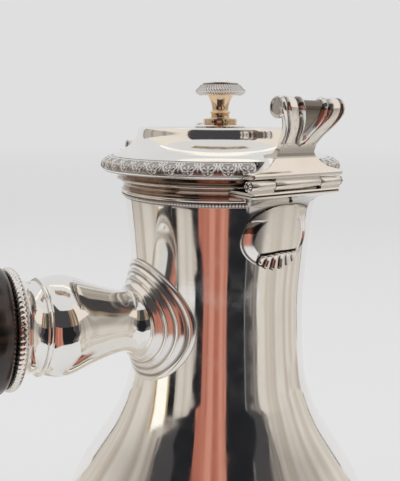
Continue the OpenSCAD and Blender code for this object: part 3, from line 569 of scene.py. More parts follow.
for a, x in zip(border_angle, across):
    pattern = np.where(on_pattern, leaf_pattern(np.full(len(place_up), x), np.clip(place_up, 0, 1)), 0.0)
    high = np.maximum(pattern, edge_lines)
    cut = np.where(row_up >= 0, BORDER_DEPTH * (1 - high) * edge_fade, 0)
    r = border_profile[:, 0] - cut * np.abs(run[:, 1])
    z = border_profile[:, 1] - cut * np.where(row_up > 0.5, np.abs(run[:, 0]), 0)
    columns.append(np.stack([r * math.cos(a), r * math.sin(a), z], 1))
    # Painted shade: the sunk ground between the leaves is painted dark, the raised pattern and edge lines bright,
    # and the foot under the border dark.
    painted_light.append(np.where(row_up >= 0, 0.12 + 0.88 * high, 0.2))
rows_round = len(border_profile)
last = (len(columns) - 1) * rows_round
faces = skin((len(columns), rows_round), wrap_v=True)
faces += [tuple(range(rows_round)), tuple(last + k for k in range(rows_round))]
piece("leaf_border", np.vstack(columns), faces, chased_silver, "lid", ["lid_border"],
      crease=75, lit_share=np.concatenate(painted_light))
print("border:", BORDER_REPEATS, "hearts,", round(2 * math.pi * 37.5 / BORDER_REPEATS, 2), "mm apart")

# %% [markdown]
# ## The finial and the swinging cover
#
# The finial is both knob and lever: it stands on a small plate that swings aside on a rivet and uncovers the
# hole. Its parts are turned, and the edge of the cap is milled with fine ticks so that fingers don't slip.

# %% Cut the swinging cover and its rivet
COVER_Z = TOP + 0.05
COVER_T = 0.9
COVER_R = 8.6
PIVOT = 11.5
EAR_R = 2.6
COVER_STEPS = 160
cover_angle = np.linspace(0, 2 * math.pi, COVER_STEPS, endpoint=False)


def cover_reach(angle):
    """Plan radius of the cover: a disc with an ear towards its rivet."""
    turn_from_ear = np.abs((angle - math.pi / 2 + math.pi) % (2 * math.pi) - math.pi)
    ear = np.clip(1 - turn_from_ear / 0.42, 0, 1)
    return COVER_R + (PIVOT + EAR_R - COVER_R) * (3 * ear ** 2 - 2 * ear ** 3)


rows = []
for share, up in ((0.001, 0), (1, 0), (1, 0.25), (0.975, 0.38), (0.8, 0.75), (0.68, COVER_T),
                  (0.001, COVER_T)):
    reach = cover_reach(cover_angle) * share
    rows.append(np.stack([reach * np.cos(cover_angle), reach * np.sin(cover_angle),
                          np.full(COVER_STEPS, COVER_Z + up)], 1))
faces = skin((len(rows), COVER_STEPS), wrap_v=True)
piece("swinging_cover", np.vstack(rows), faces, turned_silver, "cover", ["cover_plate"])

F0 = COVER_Z + COVER_T
rivet_side = [(0, TOP - 1.6), (1.7, TOP - 1.6), (1.8, TOP - 1.3), (1.1, TOP - 1.1), (1.1, F0),
              (1.75, F0 + 0.05), (1.55, F0 + 0.35), (0.9, F0 + 0.58), (0, F0 + 0.64)]
points, faces = turn(rivet_side, 48, closed=False)
piece("cover_rivet_visible", points + np.array([0, PIVOT, 0]), faces, pin_silver, "lid",
      ["cover_rivet"])
print("cover:", 2 * COVER_R, "mm across, rivet", PIVOT, "mm from the middle")

# %% Turn the finial
STEM_TALL = 8.83
stem_foot = [(0, 0), (5.2, 0), (5.4, 0.15), (5.45, 0.9), (5.4, 1.55), (5.15, 1.75), (4.4, 1.85), (3.4, 1.95),
             (3.0, 2.15), (2.9, 2.7), (2.95, 3.3), (3.25, 3.5), (3.35, 3.7), (3.25, 3.92), (2.8, 4.1)]
stem_neck = template([(2.62, 4.4), (2.75, 5.5), (3.05, 6.8), (3.5, 7.9), (4.0, STEM_TALL)], 5)
stem_side = drawn_from(0, F0, np.vstack([stem_foot, stem_neck, [[0, STEM_TALL]]]))
points, faces = turn(stem_side, 128, closed=False)
piece("finial_stem_visible", points, faces, finial_silver, "cover", ["finial_stem"])

TICKS = 56
TICK_STEPS = TICKS * 8
RIM_ROWS, BAND_ROWS, GROOVE_ROWS = (3, 5), (7, 12), (13, 14, 15)
cap_side = [(0, 8.84), (4.6, 8.84), (5.9, 8.9), (6.5, 9.1), (7.2, 9.5), (7.6, 9.75), (7.88, 10.0), (7.8, 10.2),
            (7.5, 10.45), (7.1, 10.8), (6.7, 11.2), (6.35, 11.6), (6.1, 11.85), (5.85, 12.0), (5.6, 12.08),
            (5.6, 12.2), (5.85, 12.32), (5.9, 12.5), (5.75, 12.65), (5.3, 12.75), (4.2, 12.8), (3.3, 12.85),
            (3.0, 12.95), (2.8, 13.2), (2.3, 13.45), (1.6, 13.6), (0.8, 13.68), (0, 13.7)]


def milling(angle, row):
    """Slanted ticks round the band of the cap, and finer ones round its rim."""
    band = (row >= BAND_ROWS[0]) & (row <= BAND_ROWS[1])
    rim = (row >= RIM_ROWS[0]) & (row <= RIM_ROWS[1])
    slant = angle * TICKS + row * 1.1
    return (np.where(band, -0.22 * (0.5 - 0.5 * np.cos(slant)), 0)
            + np.where(rim, -0.15 * (0.5 - 0.5 * np.cos(angle * TICKS)), 0))


points, faces = turn(drawn_from(0, F0, cap_side), TICK_STEPS, closed=False,
                     relief=lambda a, k: -milling(a, k))
tick_angle = np.linspace(0, 2 * math.pi, TICK_STEPS, endpoint=False)
cap_row = np.arange(len(cap_side))[:, None]
# Painted shade: the cuts between the ticks and the grooves round the cap are painted darker.
painted_light = 1 + 4.0 * milling(tick_angle[None, :], cap_row) - 0.9 * np.isin(cap_row, GROOVE_ROWS)
piece("finial_cap_visible", points, faces, chased_silver, "cover", ["finial_cap"],
      crease=70, lit_share=np.clip(painted_light, 0, 1))
print("finial:", round(F0 + cap_side[-1][1] - TOP, 1), "mm above the lid,", TICKS, "ticks")

# %% [markdown]
# ## The handle
#
# The socket is a hollow baluster on a stepped plate that is curved to fit the neck. A ring with a rope edge
# strengthens the mouth of the socket, where the wood enters. Wood keeps the hand cool, because silver
# carries the heat of the chocolate at once.

# %% Shape the handle plate
HANDLE_Z = 121.0
PLATE_STEPS = 260
# reach from the centre of the plate, height above the neck, and its painted light (painted shade in the valleys),
# from rim to boss
LIT_RIDGE, SHADED_VALLEY, HALF_SHADED_STEP = 0.95, 0.3, 0.5
plate_steps = [
    (19.2, 0.0, SHADED_VALLEY), (19.2, 0.55, LIT_RIDGE), (18.95, 0.85, LIT_RIDGE), (18.55, 0.95, LIT_RIDGE), (18.1, 0.85, LIT_RIDGE),
    (17.7, 0.75, SHADED_VALLEY), (17.3, 0.8, SHADED_VALLEY), (17.0, 1.1, LIT_RIDGE), (16.75, 1.55, LIT_RIDGE), (16.35, 1.85, LIT_RIDGE),
    (15.9, 1.85, LIT_RIDGE), (15.5, 1.7, HALF_SHADED_STEP), (15.1, 1.72, HALF_SHADED_STEP), (14.75, 2.0, LIT_RIDGE),
    (14.45, 2.5, LIT_RIDGE), (14.05, 2.8, LIT_RIDGE), (13.6, 2.85, LIT_RIDGE), (13.1, 2.75, HALF_SHADED_STEP), (12.7, 2.9, LIT_RIDGE),
    (12.3, 3.4, LIT_RIDGE), (11.9, 4.0, LIT_RIDGE), (11.4, 4.45, LIT_RIDGE), (10.8, 4.6, LIT_RIDGE), (9.0, 4.6, LIT_RIDGE)]
spin = np.linspace(0, 2 * math.pi, PLATE_STEPS, endpoint=False)
plate_rows = []
for reach, lift, _ in plate_steps:
    y = reach * np.cos(spin)
    z = HANDLE_Z + reach * np.sin(spin)
    r = neck_radius(z) + lift
    x = -np.sqrt(np.maximum(r ** 2 - y ** 2, 1.0))
    plate_rows.append(np.stack([x, y, z], 1))
painted_light = np.repeat([bright for _, _, bright in plate_steps], PLATE_STEPS)
piece("handle_plate_visible", np.vstack(plate_rows), skin((len(plate_rows), PLATE_STEPS), wrap_v=True),
      fluted_silver, "pot", ["handle_plate"], crease=45, lit_share=painted_light)
print("handle plate:", 2 * plate_steps[0][0], "mm across, its middle", HANDLE_Z, "mm above the table")

# %% Turn the socket
SOCKET_END = 40.3
MOUTH_OF_SOCKET = 14.4
SPIGOT_R, SPIGOT_FROM = 8.3, 20.0
start = Vector((-float(neck_radius(HANDLE_Z)), 0, HANDLE_Z)) * MM
along_handle = Matrix.Translation(start) @ Matrix.Rotation(HANDLE_TILT - math.pi / 2, 4, "Y")
baluster = template([(10.3, 2.6), (10.1, 4.7), (9.55, 6.3), (9.4, 7.6), (9.6, 9.8), (10.6, 14.0), (12.5, 20.0),
                     (14.2, 25.0), (14.5, 28.2), (13.8, 31.5), (12.85, 33.2)], 8)
socket_bead = [[13.3, 33.3], [13.65, 33.55], [13.75, 33.95], [13.65, 34.35], [13.3, 34.6], [12.9, 34.7]]
socket_cup = template([(12.8, 35.1), (12.75, 36.3), (13.05, 38.1), (13.9, 39.4), (MOUTH_OF_SOCKET, 39.9),
                       (MOUTH_OF_SOCKET, SOCKET_END)], 4)
socket_bore = [[SPIGOT_R, SOCKET_END], [SPIGOT_R, SPIGOT_FROM], [0, SPIGOT_FROM]]
points, faces = turn(np.vstack([baluster, socket_bead, socket_cup, socket_bore]), 224, closed=False)
piece("handle_socket_visible", points, faces, sheet_silver, "pot", ["handle_socket"],
      place=along_handle)
print("socket:", SOCKET_END, "mm long, tilted up by", round(math.degrees(HANDLE_TILT), 1), "degrees")

# %% Twist the rope ring
ROPE_STRANDS = 74
ROPE_R, ROPE_THICK = 15.4, 1.2
STRAND_RISE = 0.2
SECTION_STEPS = 20
RING_END = SOCKET_END + 2.8
rope_section = np.linspace(0, 2 * math.pi, SECTION_STEPS, endpoint=False)
rope_rings = []
for a in np.linspace(0, 2 * math.pi, ROPE_STRANDS * 10, endpoint=False):
    bulge = ROPE_THICK + STRAND_RISE * np.abs(np.sin(0.5 * (a * ROPE_STRANDS + 1.6 * rope_section)))
    radial = ROPE_R + np.clip(bulge * np.cos(rope_section), -1.4, 1.4)
    height = SOCKET_END + 1.42 + np.clip(bulge * np.sin(rope_section), -1.38, 1.38)
    rope_rings.append(np.stack([radial * math.cos(a), radial * math.sin(a), height], 1))
rope_faces = skin((len(rope_rings), SECTION_STEPS), wrap_u=True, wrap_v=True)
collar_ring = [(12.0, SOCKET_END + 0.02), (14.4, SOCKET_END + 0.02), (14.6, SOCKET_END + 0.4),
               (14.6, RING_END - 0.4), (14.2, RING_END - 0.02), (12.0, RING_END - 0.02)]
points, faces = join([(np.vstack(rope_rings), rope_faces), turn(collar_ring, 160)])
piece("rope_ring_visible", points, faces, cast_silver, "pot", ["rope_ring"],
      crease=60, place=along_handle)
print("rope ring:", ROPE_STRANDS, "strands")

# %% Turn the wooden handle
GRIP = 94.3
WOOD_FROM = RING_END + 0.05
KNOB_R = 17.4
# radius as a share of the thickest part, and place as a share of the length
grip_shape = [(0.87, 0.0), (0.94, 0.008), (0.99, 0.022), (1.0, 0.048), (0.92, 0.092), (0.736, 0.141),
              (0.6, 0.196), (0.53, 0.27), (0.563, 0.42), (0.638, 0.58), (0.65, 0.7), (0.58, 0.81), (0.483, 0.865)]
knob_shape = [(0.54, 0.88), (0.632, 0.915), (0.638, 0.95), (0.54, 0.98), (0.31, 0.996), (0.0, 1.0)]
spigot = [[0, 21.0], [SPIGOT_R - 0.1, 21.0], [SPIGOT_R - 0.1, SOCKET_END + 0.1], [11.9, SOCKET_END + 0.1],
          [11.9, WOOD_FROM]]
wood_side = np.vstack([spigot, template([(KNOB_R * r, WOOD_FROM + GRIP * s) for r, s in grip_shape], 8),
                       template([(KNOB_R * r, RING_END + GRIP * s) for r, s in knob_shape], 8)])
points, faces = turn(wood_side, 192, closed=False)
piece("turned_handle", points, faces, handle_wood, "pot", ["wooden_handle"],
      place=along_handle, crease=50)

PIN_AT = 37.1
pin_side = [(0, -13.1), (0.6, -13.0), (0.8, -12.8), (0.8, 12.8), (0.6, 13.0), (0, 13.1)]
points, faces = turn(pin_side, 32, closed=False)
across_socket = along_handle @ Matrix.Translation((0, 0, PIN_AT * MM)) @ Matrix.Rotation(math.pi / 2, 4, "Y")
piece("cross_pin", points, faces, pin_silver, "pot", ["handle_pin"], place=across_socket)
print("handle: wood starts", round(RING_END, 1), "mm from the neck and is", GRIP, "mm long")

# %% [markdown]
# ## The spout
#
# The spout is a long open gutter, folded from sheet and soldered against the neck. Its section is a narrow keel
# that opens into straight sides, and in plan it tapers to a beak. The top is closed by a flat cover that rises
# a little towards the beak and leaves an opening there for the flap.

# %% Draw the spout
SPOUT_TOP = RIM - 0.3
FLAT_END = 38.5
SLOPE = 0.098
KEEL_FOOT = np.array([25.935, 109.68])
KEEL_TIP = np.array([68.0, 167.4])
KEEL_RUN = (KEEL_TIP - KEEL_FOOT) / np.linalg.norm(KEEL_TIP - KEEL_FOOT)
KEEL_ROUND = 0.9
beak_plan = template([(12.5, 20), (11.3, 32), (9.2, 40), (7.2, 48), (5.7, 57), (4.6, 64.1), (3.3, 67.4),
                      (1.4, 68.6)], 6)
keel_section = template([(KEEL_ROUND, 0), (2.8, 0.9), (5, 2.8), (7.4, 5.6), (9.6, 9), (11.4, 13), (12.8, 18),
                         (13.2, 30), (13.4, 60)], 5)


def spout_top(y):
    """Height of the spout's flat cover, rounded down at the tip of the beak."""
    return SPOUT_TOP + SLOPE * np.maximum(y - FLAT_END, 0) - np.interp(y, [67.4, 68.3, 68.6], [0, 0.7, 1.6])


def spout_point(y, share, sheet):
    """Half width and height of a point of the section at y; share runs from the keel (0) to the cover (1)."""
    keel = KEEL_FOOT[1] + (y - KEEL_FOOT[0]) * KEEL_RUN[1] / KEEL_RUN[0] + KEEL_ROUND * sheet / KEEL_RUN[0]
    z = keel + (spout_top(y) - sheet - keel) * share
    from_keel = (z - keel) * KEEL_RUN[0]
    wide = np.interp(y, beak_plan[:, 1], beak_plan[:, 0]) - sheet
    half = np.minimum(np.interp(from_keel, keel_section[:, 1], keel_section[:, 0]) - KEEL_ROUND * sheet, wide)
    return np.maximum(half, 0.25), z


print("spout: keel rises", round(math.degrees(math.atan2(KEEL_RUN[1], KEEL_RUN[0])), 1), "degrees")

# %% Fold the spout
SIDE = 30
HOLE_FROM, HOLE_TO, HOLE_HALF = 58.4, 66.0, 3.2
HOLE_FIRST, HOLE_ROWS, HOLE_COLUMNS = 7, 5, (2, 3)
COVER_COLUMNS = 7
side_share = np.linspace(0, 1, SIDE) ** 1.6
early = np.linspace(0, 1, 12)[:-1]
late = np.concatenate([np.linspace(45, HOLE_FROM, HOLE_FIRST + 1),
                       np.linspace(HOLE_FROM, HOLE_TO, HOLE_ROWS + 1)[1:], [66.6, 67.2, 67.7, 68.1]])


def spout_sheet(sheet, last):
    """Grid of the side walls and of the cover; each row is a section, starting on the face of the neck."""
    side_start = np.full(SIDE, 27.0)
    for _ in range(12):
        half, z = spout_point(side_start, side_share, sheet)
        side_start = np.sqrt(np.maximum(neck_radius(z) ** 2 - half ** 2, 1))
    walls, covers = [], []
    for t in range(len(early) + last):
        if t < len(early):
            y = side_start + (late[0] - side_start) * early[t]
        else:
            y = np.full(SIDE, late[t - len(early)])
        half, z = spout_point(y, side_share, sheet)
        walls.append(np.vstack([np.stack([-half[::-1], y[::-1], z[::-1]], 1), np.stack([half, y, z], 1)]))
        edge = walls[-1][0]
        reach = min(HOLE_HALF, 0.86 * abs(edge[0]))
        across = np.array([edge[0], 0.5 * (edge[0] - reach), -reach, 0, reach, 0.5 * (reach - edge[0]),
                           -edge[0]])
        cy = np.full(COVER_COLUMNS, edge[1])
        if t < len(early):
            first = np.sqrt(np.maximum(neck_radius(edge[2]) ** 2 - across ** 2, 1))
            cy = first + (late[0] - first) * early[t]
        covers.append(np.stack([across, cy, spout_top(cy) - sheet], 1))
    return np.array(walls), np.array(covers)


walls_out, covers_out = spout_sheet(0.0, len(late))
walls_in, covers_in = spout_sheet(1.0, len(late) - 3)
print("spout: walls of", walls_out.shape[0], "sections with", walls_out.shape[1], "points each")

# %% Close the spout round its opening
spout_points, spout_faces = [], []


def add_grid(grid, skip=()):
    """Adds a grid of points to the spout and returns the number of its first point."""
    base = sum(len(p) for p in spout_points)
    spout_points.append(grid.reshape(-1, 3))
    for k, f in enumerate(skin(grid.shape[:2])):
        if k not in skip:
            spout_faces.append(tuple(i + base for i in f))
    return base


def bridge(first, second, step):
    """Joins the edge from first to first + step with the same edge of the inner sheet."""
    spout_faces.append((first, first + step, second + step, second))


first_row = len(early) + HOLE_FIRST
hole_rows = range(first_row, first_row + HOLE_ROWS)
hole_cells = {(COVER_COLUMNS - 1) * i + j for i in hole_rows for j in HOLE_COLUMNS}
wall_a = add_grid(walls_out)
cover_a = add_grid(covers_out, hole_cells)
wall_b = add_grid(walls_in)
cover_b = add_grid(covers_in, hole_cells)
wall_columns = 2 * SIDE
for j in range(wall_columns - 1):
    bridge(wall_a + j, wall_b + j, 1)
for j in range(COVER_COLUMNS - 1):
    bridge(cover_a + j, cover_b + j, 1)
for base, grid in ((wall_a, walls_out), (wall_b, walls_in)):
    end = base + (len(grid) - 1) * wall_columns
    spout_faces.append(tuple(end + j for j in range(wall_columns)))
for i in hole_rows:
    for j in (HOLE_COLUMNS[0], HOLE_COLUMNS[-1] + 1):
        bridge(cover_a + COVER_COLUMNS * i + j, cover_b + COVER_COLUMNS * i + j, COVER_COLUMNS)
for i in (first_row, first_row + HOLE_ROWS):
    for j in HOLE_COLUMNS:
        bridge(cover_a + COVER_COLUMNS * i + j, cover_b + COVER_COLUMNS * i + j, 1)
print("spout: opening", HOLE_TO - HOLE_FROM, "by", 2 * HOLE_HALF, "mm")

# %% Solder the flap's knuckles on
FLAP_Y = 57.0
FLAP_Z = SPOUT_TOP + SLOPE * (FLAP_Y - FLAT_END) + 0.9
FLAP_LEAN = math.atan(SLOPE)
FLAP_KNUCKLE = 0.9


def rod(profile, y, z, steps=40):
    """A turned piece that lies along x: the profile lists radius and x."""
    pts, faces = turn(profile, steps, closed=False)
    return np.stack([pts[:, 2], y + pts[:, 0], z + pts[:, 1]], 1), faces


def from_flap(points):
    """Turns points drawn level at the flap hinge to the slope of the spout's cover."""
    c, s = math.cos(FLAP_LEAN), math.sin(FLAP_LEAN)
    y, z = points[:, 1], points[:, 2]
    return np.stack([points[:, 0], FLAP_Y + c * y - s * z, FLAP_Z + s * y + c * z], 1)


knuckles = []
for s in (-1, 1):
    barrel = [(0, 1.9), (0.8, 1.9), (FLAP_KNUCKLE, 2.0), (FLAP_KNUCKLE, 4.1), (0.8, 4.2), (0, 4.2)]
    pts, fcs = rod([(r, s * x) for r, x in barrel], 0, 0, 32)
    knuckles.append((from_flap(pts), fcs))
    corners = ((s * 1.95, -0.85), (s * 4.15, -0.85), (s * 4.15, 0.85), (s * 1.95, 0.85))
    pts = np.array([[x, y, z] for z in (-1.4, -0.2) for x, y in corners])
    fcs = [(0, 1, 2, 3), (4, 5, 6, 7)] + [(k, (k + 1) % 4, 4 + (k + 1) % 4, 4 + k) for k in range(4)]
    knuckles.append((from_flap(pts), fcs))
points, faces = join([(np.vstack(spout_points), spout_faces)] + knuckles)
piece("beak_spout", points, faces, sheet_silver, "pot", ["spout"], crease=30)
print("spout:", len(faces), "faces, tip", round(float(points[:, 1].max()), 1), "mm from the axis")

# %% [markdown]
# ## The flap of the spout
#
# A small flap keeps the aroma in and the dust out, and it opens by itself when the pot is tipped. It is cut
# from sheet to the shape of the beak, and a rolled scroll is soldered on to lift it by.

# %% Cut the flap and roll its scroll
SCROLL_R, SCROLL_HALF = 2.3, 2.0
SCROLL_Y, SCROLL_Z = 6.6, 2.22
FLAP_FROM = 1.7


def slab(outline, low, high, edge):
    """A thin plate with softened edges, from its outline in plan."""
    outline = np.asarray(outline, float)
    run = np.roll(outline, -1, 0) - np.roll(outline, 1, 0)
    run /= np.linalg.norm(run, axis=1)[:, None] + 1e-9
    out = np.stack([run[:, 1], -run[:, 0]], 1)
    if np.sum(outline[:, 0] * np.roll(outline[:, 1], -1) - outline[:, 1] * np.roll(outline[:, 0], -1)) < 0:
        out = -out
    rows = []
    for back, z in ((edge, low), (0.3 * edge, low + 0.3 * edge), (0, low + edge), (0, high - edge),
                    (0.3 * edge, high - 0.3 * edge), (edge, high)):
        ring = outline - back * out
        rows.append(np.column_stack([ring, np.full(len(ring), z)]))
    n = len(outline)
    faces = skin((6, n), wrap_v=True) + [tuple(range(n)), tuple(5 * n + k for k in range(n))]
    return np.vstack(rows), faces


half_plan = np.array([(x + 0.35, y) for x, y in beak_plan if y > FLAP_Y + FLAP_FROM])
half_plan = np.vstack([[[half_plan[0, 0] + 0.1, FLAP_Y + FLAP_FROM]], half_plan, [[0.5, 68.85]]])
flap_outline = np.vstack([half_plan, [[-x, y] for x, y in half_plan[::-1]]]) - np.array([0, FLAP_Y])
leaf = slab(flap_outline, -0.78, 0.12, 0.12)
barrel = rod([(0, -1.7), (0.8, -1.7), (FLAP_KNUCKLE, -1.6), (FLAP_KNUCKLE, 1.6), (0.8, 1.7), (0, 1.7)],
             0, 0, 32)
tongue = slab([(-1.7, 0.1), (1.7, 0.1), (1.7, 2.6), (-1.7, 2.6)], -0.78, 0.1, 0.1)
scroll_side = [(SCROLL_R - 0.95, -SCROLL_HALF), (SCROLL_R - 0.1, -SCROLL_HALF), (SCROLL_R, 0.2 - SCROLL_HALF),
               (SCROLL_R, SCROLL_HALF - 0.2), (SCROLL_R - 0.1, SCROLL_HALF), (SCROLL_R - 0.95, SCROLL_HALF),
               (SCROLL_R - 1, SCROLL_HALF - 0.2), (SCROLL_R - 1, 0.2 - SCROLL_HALF)]
pts, fcs = turn(scroll_side, 64)
scroll = (np.stack([pts[:, 2], SCROLL_Y + pts[:, 0], SCROLL_Z + pts[:, 1]], 1), fcs)
points, faces = join([leaf, barrel, tongue, scroll])
piece("flap_and_scroll", from_flap(points), faces, cast_silver, "flap", ["spout_flap"])
points, faces = rod([(0, -4.4), (0.4, -4.4), (0.45, -4.3), (0.45, 4.3), (0.4, 4.4), (0, 4.4)], 0, 0, 24)
piece("flap_pin_visible", from_flap(points), faces, pin_silver, "pot", ["flap_pin"])
print("flap: scroll", 2 * SCROLL_R, "mm across")

# %% [markdown]
# ## The hinge of the lid
#
# The hinge has three knuckles, two on a bracket under the mouth and one on the lid. Its pin ends in two small
# florets. The bracket hides the solder joint of the knuckles, and its arched lower edge leads the eye down to
# an oval cushion with a shell, which spreads the pull of the lid over more of the thin neck.

# %% Tools for the hinge castings
HINGE_Y, HINGE_Z = -36.0, 165.5
KNUCKLE_R = 1.45
CAST_STEPS = 41
ease = np.sin(np.linspace(-1, 1, CAST_STEPS) * math.pi / 2)


def corner(depth):
    """How far a face draws back at both of its ends."""
    return depth * np.clip((np.abs(ease) - 0.97) / 0.03, 0, 1)


def casting(rows):
    """Closes rows of front and back points into a solid."""
    n = 2 * CAST_STEPS
    faces = skin((len(rows), n), wrap_v=True)
    for row in (0, len(rows) - 1):
        for k in range(CAST_STEPS - 1):
            faces.append((row * n + k, row * n + k + 1, row * n + n - 2 - k, row * n + n - 1 - k))
    return np.vstack(rows), faces


def knuckle(start, end):
    """A barrel of the hinge from one place along the pin to another."""
    side = 0.15 if end > start else -0.15
    return rod([(0, start), (KNUCKLE_R - 0.1, start), (KNUCKLE_R, start + side), (KNUCKLE_R, end - side),
                (KNUCKLE_R - 0.1, end), (0, end)], HINGE_Y, HINGE_Z, 56)


print("hinge: pin", -HINGE_Y, "mm behind the axis and", round(RIM - HINGE_Z, 1), "mm under the mouth")

# %% File the bracket
ARCH_FOOT, ARCH_TOP, WRAP_TOP = HINGE_Z - 8.6, HINGE_Z - 3.5, HINGE_Z - 3.3
bracket_cove = template(drawn_from(HINGE_Y, HINGE_Z, [
    (4.3, -8.6), (3.8, -7.1), (2.9, -5.6), (1.6, -4.4), (0.2, -3.7), (-0.9, -3.35)]), 4)
bracket_lip = drawn_from(HINGE_Y, HINGE_Z, [
    (-1.25, -3.15), (-1.35, -2.9), (-1.2, -2.72), (-0.85, -2.6), (-0.85, -2.52), (-1.3, -2.4), (-1.45, -2.2),
    (-1.35, -1.95), (-1.1, -1.8)])
bracket_front = np.vstack([bracket_cove, bracket_lip])
bracket_half = template(drawn_from(0, HINGE_Z, [
    (10.9, -8.6), (11.1, -7.1), (11.5, -5.9), (12.4, -4.8), (14.3, -3.9), (16.0, -3.15)]), 4)


def arch_low(x):
    """Height of the arched lower edge of the bracket."""
    return HINGE_Z + np.interp(np.abs(x), [0, 3, 6, 9, 11, 16], [-6.3, -6.35, -6.8, -7.8, -8.6, -8.6])


rows = []
for front_y, z in bracket_front:
    x = float(np.interp(z, bracket_half[:, 1], bracket_half[:, 0])) * ease
    lift = np.clip((ARCH_TOP - z) / (ARCH_TOP - ARCH_FOOT), 0, 1)
    height = z + lift * (arch_low(x) - ARCH_FOOT)
    on_cove = z < ARCH_TOP
    y = np.interp(height, bracket_cove[:, 1], bracket_cove[:, 0]) if on_cove else np.full(CAST_STEPS, front_y)
    wrap = np.clip((WRAP_TOP - height) / 3.2, 0, 1)
    wrap = wrap * wrap * (3 - 2 * wrap)
    y = wrap * -np.sqrt(np.maximum(y ** 2 - x ** 2, 1)) + (1 - wrap) * y
    front = np.stack([x, y + corner(0.3), height], 1)
    back_y = -np.sqrt(np.maximum(neck_radius(height) ** 2 - x ** 2, 1)) + 0.4
    back = np.stack([x, np.maximum(back_y, y + 0.5), height], 1)[::-1]
    rows.append(np.vstack([front, back]))
parts = [casting(rows)]
for s in (-1, 1):
    parts.append(knuckle(s * 8.4, s * 16.2))
    strip = [(s * 8.6, HINGE_Y - 0.9), (s * 16.0, HINGE_Y - 0.9), (s * 16.0, HINGE_Y + 0.9),
             (s * 8.6, HINGE_Y + 0.9)]
    parts.append(slab(strip, HINGE_Z - 2.0, HINGE_Z - 0.1, 0.05))
pts, fcs = rod([(0, -0.9), (0.5, -0.9), (0.55, -0.3), (0.4, 0.1), (0.2, 0.22), (0, 0.25)], 0, 0, 24)
stud_points = np.stack([pts[:, 1] + 0.6, HINGE_Y + 2.25 - pts[:, 0], HINGE_Z - 5.2 + pts[:, 2]], 1)
parts.append((stud_points, fcs))
points, faces = join(parts)
# Painted shade: the arched lower edge, the groove in the lip and the stud are painted dark, the faces between them
# kept bright.
row_painted_light = np.interp(bracket_front[:, 1] - HINGE_Z,
                       [-8.6, -8.2, -7.8, -5.0, -3.3, -2.9, -2.72, -2.6, -2.52, -2.4],
                       [0.0, 0.1, 0.55, 0.62, 0.95, 1.0, 0.2, 0.0, 0.1, 1.0])
painted_light = np.ones(len(points))
painted_light[:len(rows) * 2 * CAST_STEPS] = np.repeat(row_painted_light, 2 * CAST_STEPS)
painted_light[-len(stud_points):] = 0.0
piece("hinge_bracket_visible", points, faces, fluted_silver, "pot", ["hinge_bracket"], crease=42,
      lit_share=painted_light)
print("bracket:", round(2 * bracket_half[-1, 0], 1), "mm wide at its lip")

# %% Turn the hinge pin with its florets
PETALS = 6
PIN_HALF = 17.2
# radius, and depth from the end of the pin
floret = [(0, 0), (0.25, 0), (0.42, 0.08), (0.5, 0.22), (0.62, 0.2), (0.9, 0.08), (1.15, 0.15), (1.32, 0.4),
          (1.35, 0.8), (1.1, 0.9), (0.8, 0.95)]
pin_rows = [(r, deep - PIN_HALF) for r, deep in floret] + [(r, PIN_HALF - deep) for r, deep in floret[::-1]]


def petals(angle, row):
    """Notches between the petals of the floret on each end."""
    from_end = np.minimum(row, len(pin_rows) - 1 - row)
    return np.where((from_end >= 4) & (from_end <= 8), -0.22 * (0.5 - 0.5 * np.cos(angle * PETALS)) ** 2, 0)


pts, faces = turn(pin_rows, 96, closed=False, relief=petals)
points = np.stack([pts[:, 2], HINGE_Y + pts[:, 0], HINGE_Z + pts[:, 1]], 1)
from_end = np.minimum(np.abs(pts[:, 2] + PIN_HALF), np.abs(pts[:, 2] - PIN_HALF))
from_middle = np.hypot(pts[:, 0], pts[:, 1])
round_pin = np.arctan2(pts[:, 1], pts[:, 0])
# Painted shade: a ring round the middle of each floret and the notches between its petals are painted dark, and the
# rest of the pin, back from its end faces, darker.
painted_light = np.where((from_middle > 0.36) & (from_middle < 0.72), 0.0, 1.0)
petal_painted_light = np.clip(0.1 + 1.6 * np.abs(np.cos(round_pin * PETALS / 2)), 0, 1)
painted_light = np.where(from_middle > 0.72, petal_painted_light, painted_light)
painted_light = np.where(from_end > 0.5, 0.3, painted_light)
piece("hinge_pin_visible", points, faces, fluted_silver, "pot", ["hinge_pin"], crease=50,
      lit_share=painted_light)
print("hinge: knuckles", 2 * KNUCKLE_R, "mm thick, pin ends with", PETALS, "petals")

# %% [markdown]
# ## The cushion with its shell
#
# The plaque under the bracket is an oval cushion with a thin raised rim. At its foot five fingers of a shell
# hang over the rim. It is cast and then chased, and the hollows between the fingers are painted darker, as painted
# shade.

# %% Draw the face of the cushion
PLAQUE_Z = RIM - 17.6
PLAQUE_HALF, PLAQUE_RISE = 12.3, 8.8
PAD_HIGH, RIM_HIGH, FINGER_HIGH = 0.80, 0.70, 0.95
FINGER_WIDE = 2.2


def shell_fingers(x, dz):
    """Height and softness of the five fingers that hang over the lower rim."""
    below = -3.3 - 0.10 * np.abs(x) ** 0.8 - dz
    fan = x / (1 + 0.085 * np.clip(below - 1, 0, 8))
    finger = np.abs(np.sin(fan / FINGER_WIDE * math.pi)) ** 0.55
    reach = 8.65 + 0.75 * finger
    soft = np.clip(below / 0.8, 0, 1) * np.clip((reach - np.hypot(x / 1.10, dz)) / 0.5, 0, 1) ** 0.5
    soft = soft * np.clip((6.6 + 0.10 * below - np.abs(fan)) / 0.35, 0, 1)
    roll_over = 0.55 * np.exp(-((below - 0.9) / 0.8) ** 2)
    return (0.42 + roll_over + FINGER_HIGH * finger) * soft, soft


